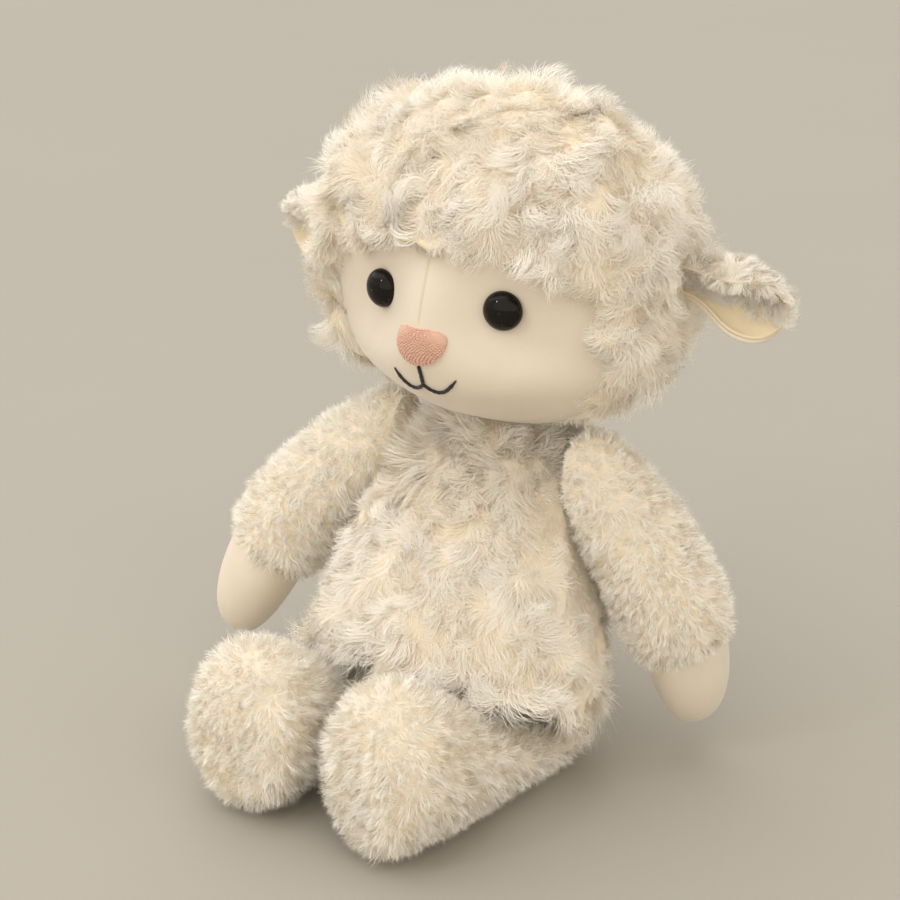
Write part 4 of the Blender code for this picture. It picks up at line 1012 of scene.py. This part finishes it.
def arm_form(side, rings, inset, size, along, around):
    """An arm's cloth in place, held off the flank of the body."""
    made = []
    for distance, width in rings:
        half = width * size / 2 - inset
        bow = side * ARM_BOW * math.sin(math.pi * min(max(distance, 0.0), 1.0))
        made.append(level(bow, 0.0, -distance * ARM_LONG, half, half))
    form = loft(shut(made), along, around)
    form = turned(turned(form, -ARM_SPREAD[side], "Y"), -ARM_FORWARD[side], "X")
    return off_flank(form + SHOULDER[side], side)


def off_flank(form, side):
    """Points of an arm moved out of the cone that the body's flank keeps."""
    least = flank(form, side) + FLANK_GAP
    form = form.copy()
    form[..., 0] = side * np.maximum(side * form[..., 0], least)
    return form


def make_arms():
    for side, hand in HANDS.items():
        body = "arm_" + hand
        form = arm_form(side, SLEEVE_RINGS, 2.0, ARM_WIDE, 120, 110)
        relief = LIMB_RELIEF * lumps(form, 12.0, 62)
        form = form + Cloth(form).normals * (LIMB_SWELL * relief)[..., None]
        cloth = Cloth(off_flank(form, side), relief=relief)
        fit(cloth.piece("sleeve_cloth_" + hand, BACKING), body, "fleece",
            "sleeve_" + hand, "arm_filling_" + hand, fill=0.7)
        palm = Cloth(arm_form(side, HAND_RINGS, 0.0, HAND_WIDE, 90, 110))
        fit(palm.piece("hand_cloth_" + hand, MINKY), body, "smooth_cloth", "hand_" + hand, fill=0.7)
        roots = rooted(cloth, SLEEVE_FLEECE.density, draws=61 + side,
                       seed=63, size=9.0, amount=0.9)
        place = roots[0]
        clear = ease(side * place[:, 0] - flank(place, side), 1.1, 4.0)
        length = SLEEVE_FLEECE.length * (1.0 + 0.14 * drift(place, 7.0, 64))
        length *= 0.4 + 0.6 * clear
        wool("sleeve_fleece_" + hand, roots, SLEEVE_FLEECE, 65 + side, body, "fleece", length,
             flat=0.4 * (1.0 - clear))


# Legs

def leg_form(side):
    """A leg's cloth in place, sunk by its pile."""
    made = []
    for distance, height, width, tall in LEG_RINGS:
        made.append((
            0.0, -distance * LEG_LONG, height * FOOT_TALL, max(width * FOOT_WIDE - LEG_PILE, 1.0),
            0.0, 0.0, 0.0, 0.0, max(tall * FOOT_TALL - LEG_PILE, 1.0)))
    made[-1] = (0.0, made[-1][1] + LEG_PILE) + made[-1][2:]
    form = turned(loft(shut(made), along=170, around=130), LEG_TURN[side], "Z") + HIP[side]
    form[..., 2] = np.maximum(form[..., 2], 1.0)
    return form


def make_legs():
    for side, hand in HANDS.items():
        form = leg_form(side)
        relief = LIMB_RELIEF * lumps(form, 13.0, 72)
        swell = LIMB_SWELL * relief * ease(form[..., 2], 1.5, 5.0)
        cloth = Cloth(form + Cloth(form).normals * swell[..., None], relief=relief)
        body = "leg_" + hand
        fit(cloth.piece("leg_cloth_" + hand, BACKING), body, "fleece",
            "leg_" + hand, "leg_filling_" + hand, fill=0.8)
        roots = rooted(cloth, lambda middle, normal: LEG_FLEECE.density * (middle[..., 2] > 1.4),
                       draws=71 + side, seed=73, size=10.0, amount=0.9,
                       aim=lambda down: down - np.array([0.0, 0.0, 0.8]))
        length = LEG_FLEECE.length * (1.0 + 0.14 * drift(roots[0], 8.0, 74))
        wool("leg_fleece_" + hand, roots, LEG_FLEECE, 75 + side, body, "fleece", length, floor=0.3)


# Eyes, nose and mouth

def lathe(profile, spot, outward, around):
    """A turned form: (radius, height) from its top to its back, with its height along outward."""
    across = unit(np.cross(outward, [0.0, 0.0, 1.0]))
    upward = np.cross(across, outward)
    turn = np.linspace(0.0, math.tau, around, endpoint=False)[None, :, None]
    radius, height = np.asarray(profile).T[..., None, None]
    return spot + height * outward + radius * (across * np.cos(turn) + upward * np.sin(turn))


def make_eyes():
    tree, shader, material = new_material("black_bead", 0.06, specular=0.2)
    dust = node(tree, "TexNoise", Vector=node(tree, "TexCoord", "Object"), Scale=900.0, Detail=4.0)
    feed(tree, shader, {
        "Base Color": mixed(tree, dust, (0.004, 0.0035, 0.003), (0.012, 0.009, 0.007)),
        "Roughness": node(tree, "MapRange", Value=dust, From_Min=0.55, From_Max=0.8,
                          To_Min=0.04, To_Max=0.12)})
    profile = [(max(0.02, EYE_RADIUS * math.sin(a)), 1.0 + EYE_DOME * math.cos(a))
               for a in np.linspace(0.0, math.pi / 2, 14)]
    profile += [(EYE_RADIUS, 0.7), (EYE_RADIUS - 0.15, 0.45), (EYE_RADIUS - 0.5, 0.3), (1.8, 0.3),
                (1.8, -9.0)]
    for side, hand in HANDS.items():
        x = side * EYE_SPREAD
        place = np.array([x, float(face_front(x, EYE_HEIGHT)), EYE_HEIGHT])
        outward = np.array([side * math.sin(EYE_TURN), -math.cos(EYE_TURN), 0.0])
        eye = Cloth(lathe(profile, place, outward, 64)).piece("eye_bead_" + hand, material)
        fit(eye, "head", "bead", "eye_" + hand)


def stitches(name, sewn, radius, material, seed):
    """Stitches from one point to the next, each a thread that bulges between its ends."""
    rng = np.random.default_rng(seed)
    points, faces = [], []
    for start, end, up in sewn:
        side = unit(np.cross(unit(end - start), up))
        base = len(points)
        swell = rng.uniform(0.9, 1.1)
        for share, wide, high in STITCH_RINGS:
            middle = start + (end - start) * share + up * (high * radius)
            for angle in np.arange(6) * math.tau / 6:
                rim = side * math.cos(angle) + up * math.sin(angle)
                points.append(middle + rim * (wide * radius * swell))
        for first in range(base, base + 30, 6):
            for a in range(6):
                b = (a + 1) % 6
                faces.append((first + a, first + a + 6, first + b + 6, first + b))
        faces.append([base + a for a in range(6)])
        faces.append([base + 30 + a for a in range(5, -1, -1)])
    return new_piece(name, points, faces, material)


def nose_edge():
    """The outline of the nose on the face, as x and z."""
    corners = np.array(NOSE_OUTLINE)
    ring = np.vstack([corners[-2:], corners, corners[:2]])
    t = np.linspace(1.0, len(corners) + 1.0, 89)[:-1]
    i = t.astype(int)
    edge = 0.0
    for k, weight in enumerate(curve_weights((t - i)[:, None])):
        edge = edge + weight / 6.0 * ring[(i + k - 1) % len(ring)]
    edge = edge * np.array([0.99, 0.88]) * np.array([NOSE_WIDE, NOSE_TALL])
    return edge + np.array([0.0, NOSE_HEIGHT])


def nose_rows(edge):
    """Rows of stitches across the nose: the start and end of each, and the way up from it."""
    rng = np.random.default_rng(81)
    sewn = []
    ring = np.vstack([edge, edge[:1]])
    levels = np.arange(NOSE_HEIGHT - NOSE_TALL / 2 + 0.2, NOSE_HEIGHT + NOSE_TALL / 2, STITCH_PITCH)
    for row, z in enumerate(levels):
        cuts = [x0 + (x1 - x0) * (z - z0) / (z1 - z0)
                for (x0, z0), (x1, z1) in zip(ring, ring[1:]) if (z0 - z) * (z1 - z) < 0]
        if len(cuts) < 2:
            continue
        left, right = min(cuts), max(cuts)
        x = left + 0.15 - (row % 3) / 3 * STITCH_LONG
        while x < right - 0.15:
            end = min(x + STITCH_LONG * rng.uniform(0.8, 1.1), right - 0.1)
            reach = np.array([max(x, left + 0.1), end])
            x = x + STITCH_LONG
            if reach[1] - reach[0] < 0.3:
                continue
            heights = z + rng.uniform(-0.16, 0.16, 2)
            out = np.hypot(reach / (NOSE_WIDE / 2), (heights - NOSE_HEIGHT) / (NOSE_TALL / 2))
            spots, normal = on_face(reach, heights, 1.55 - 1.25 * np.minimum(1.0, out) ** 4)
            sewn.append((*spots, normal.mean(0)))
    return sewn


def make_nose():
    tree, shader, material = new_material("pink_yarn", 0.7, sheen=0.4, sheen_roughness=0.35)
    nap = grouped(tree, NAP, Grain=3200.0, Patches=700.0)
    shade = mixed(tree, nap["Patch"], (0.74, 0.45, 0.345), (0.66, 0.38, 0.285))
    feed(tree, shader, {
        "Base Color": mixed(tree, nap["Speck"], shade, (0.80, 0.53, 0.41)),
        "Normal": node(tree, "Bump", Height=nap["Height"], Strength=0.5, Distance=0.00012)})
    edge = nose_edge()
    middle = np.array([0.0, NOSE_HEIGHT + 0.4])
    rows = []
    for share, rise in NOSE_PAD:
        x, z = (middle + (edge - middle) * share).T
        rows.append(on_face(x, z, np.full(len(x), rise))[0])
    fit(Cloth(np.array(rows)).piece("nose_pad", material), "head", "nose_stitching", "nose")
    sewn = stitches("nose_stitches", nose_rows(edge), 0.27, material, 82)
    fit(sewn, "head", "nose_stitching")


def thread(name, x, z, material):
    """A thread laid on the face, thin at both ends."""
    middle, normal = on_face(x, z, np.full(len(x), 0.35))
    along = unit(np.gradient(middle, axis=0))
    side = np.cross(along, normal)[:, None]
    ends = 1.0
    for count in (np.linspace(0, 8, len(x)), np.linspace(8, 0, len(x))):
        ends = ends * np.minimum(1.0, count + 0.35)
    ply = 1.0 + 0.10 * np.sin(np.arange(len(x)) * 1.9)
    radius = (THREAD * 1.02 * ends * ply)[:, None, None]
    turn = np.linspace(0, math.tau, 12, endpoint=False)[None, :, None]
    round_it = side * np.cos(turn) + normal[:, None] * np.sin(turn) * 0.8
    return Cloth(middle[:, None] + radius * round_it).piece(name, material)


def make_mouth():
    tree, shader, material = new_material("black_thread", 0.6, sheen=0.2)
    ply = node(tree, "TexWave", "Fac", {"wave_profile": "SIN", "bands_direction": "DIAGONAL"},
               Vector=node(tree, "TexCoord", "Object"), Scale=500.0, Distortion=1.5, Detail=1.0)
    feed(tree, shader, {
        "Base Color": mixed(tree, ply, (0.006, 0.005, 0.005), (0.035, 0.028, 0.024)),
        "Normal": node(tree, "Bump", Height=ply, Strength=0.6, Distance=0.00015)})
    share = np.linspace(-1.0, 1.0, 49)
    far = np.abs(share)
    z = MOUTH_HEIGHT - MOUTH_DIP * np.sin(math.pi * far ** 0.9) + MOUTH_LIFT * far ** 2
    fit(thread("mouth_line", share * MOUTH_HALF_WIDE, z, material), "head", "mouth_thread", "mouth")
    fall = np.linspace(0.0, 1.0, 14)
    top = NOSE_HEIGHT - NOSE_TALL / 2 + 0.4
    x, z = 0.25 * np.sin(fall * math.pi), top + (MOUTH_HEIGHT - top) * fall
    fit(thread("mouth_drop_line", x, z, material), "head", "mouth_thread")


# Floor and light

def make_floor():
    tree, shader, material = new_material("pale_floor", 0.9, specular=0.1)
    cloudy = node(tree, "TexNoise", Vector=node(tree, "TexCoord", "Object"), Scale=3.0, Detail=4.0)
    shade = mixed(tree, cloudy, (0.385, 0.36, 0.315), (0.41, 0.385, 0.34))
    feed(tree, shader, {"Base Color": shade})
    far = FLOOR_REACH
    corners = [(-far, -far, 0), (far, -far, 0), (far, far, 0), (-far, far, 0)]
    new_piece("floor", corners, [(0, 1, 2, 3)], material)


def make_light():
    world = bpy.data.worlds.new("studio")
    bpy.context.scene.world = world
    world.use_nodes = True
    backdrop = world.node_tree.nodes["Background"]
    feed(world.node_tree, backdrop, {"Color": (1.0, 0.945, 0.86), "Strength": 0.80})
    for name, place, spread, power, tint in (
        ("window_light", (-0.75, 0.1, 1.3), 90.0, 1.55, (0.97, 0.985, 1.0)),
        ("front_fill", (0.9, -1.4, 0.45), 110.0, 1.25, (1.0, 0.90, 0.77)),
    ):
        data = bpy.data.lights.new(name, "SUN")
        data.angle = math.radians(spread)
        data.energy = power
        data.color = tint
        placed(name, data, place, -Vector(place))
    data = bpy.data.lights.new("small_softbox", "AREA")
    data.size = 0.12
    data.energy = 1.3
    place = Vector((-0.35, -1.0, 0.85))
    placed("small_softbox", data, place, Vector((0.0, 0.0, 0.15)) - place)


for make in (set_camera, make_floor, make_light, make_body, make_neck, make_tail, make_head,
             make_face, make_ears, make_arms, make_legs, make_eyes, make_nose, make_mouth):
    make()

bpy.context.scene.view_settings.view_transform = "Standard"
bpy.context.view_layer.update()
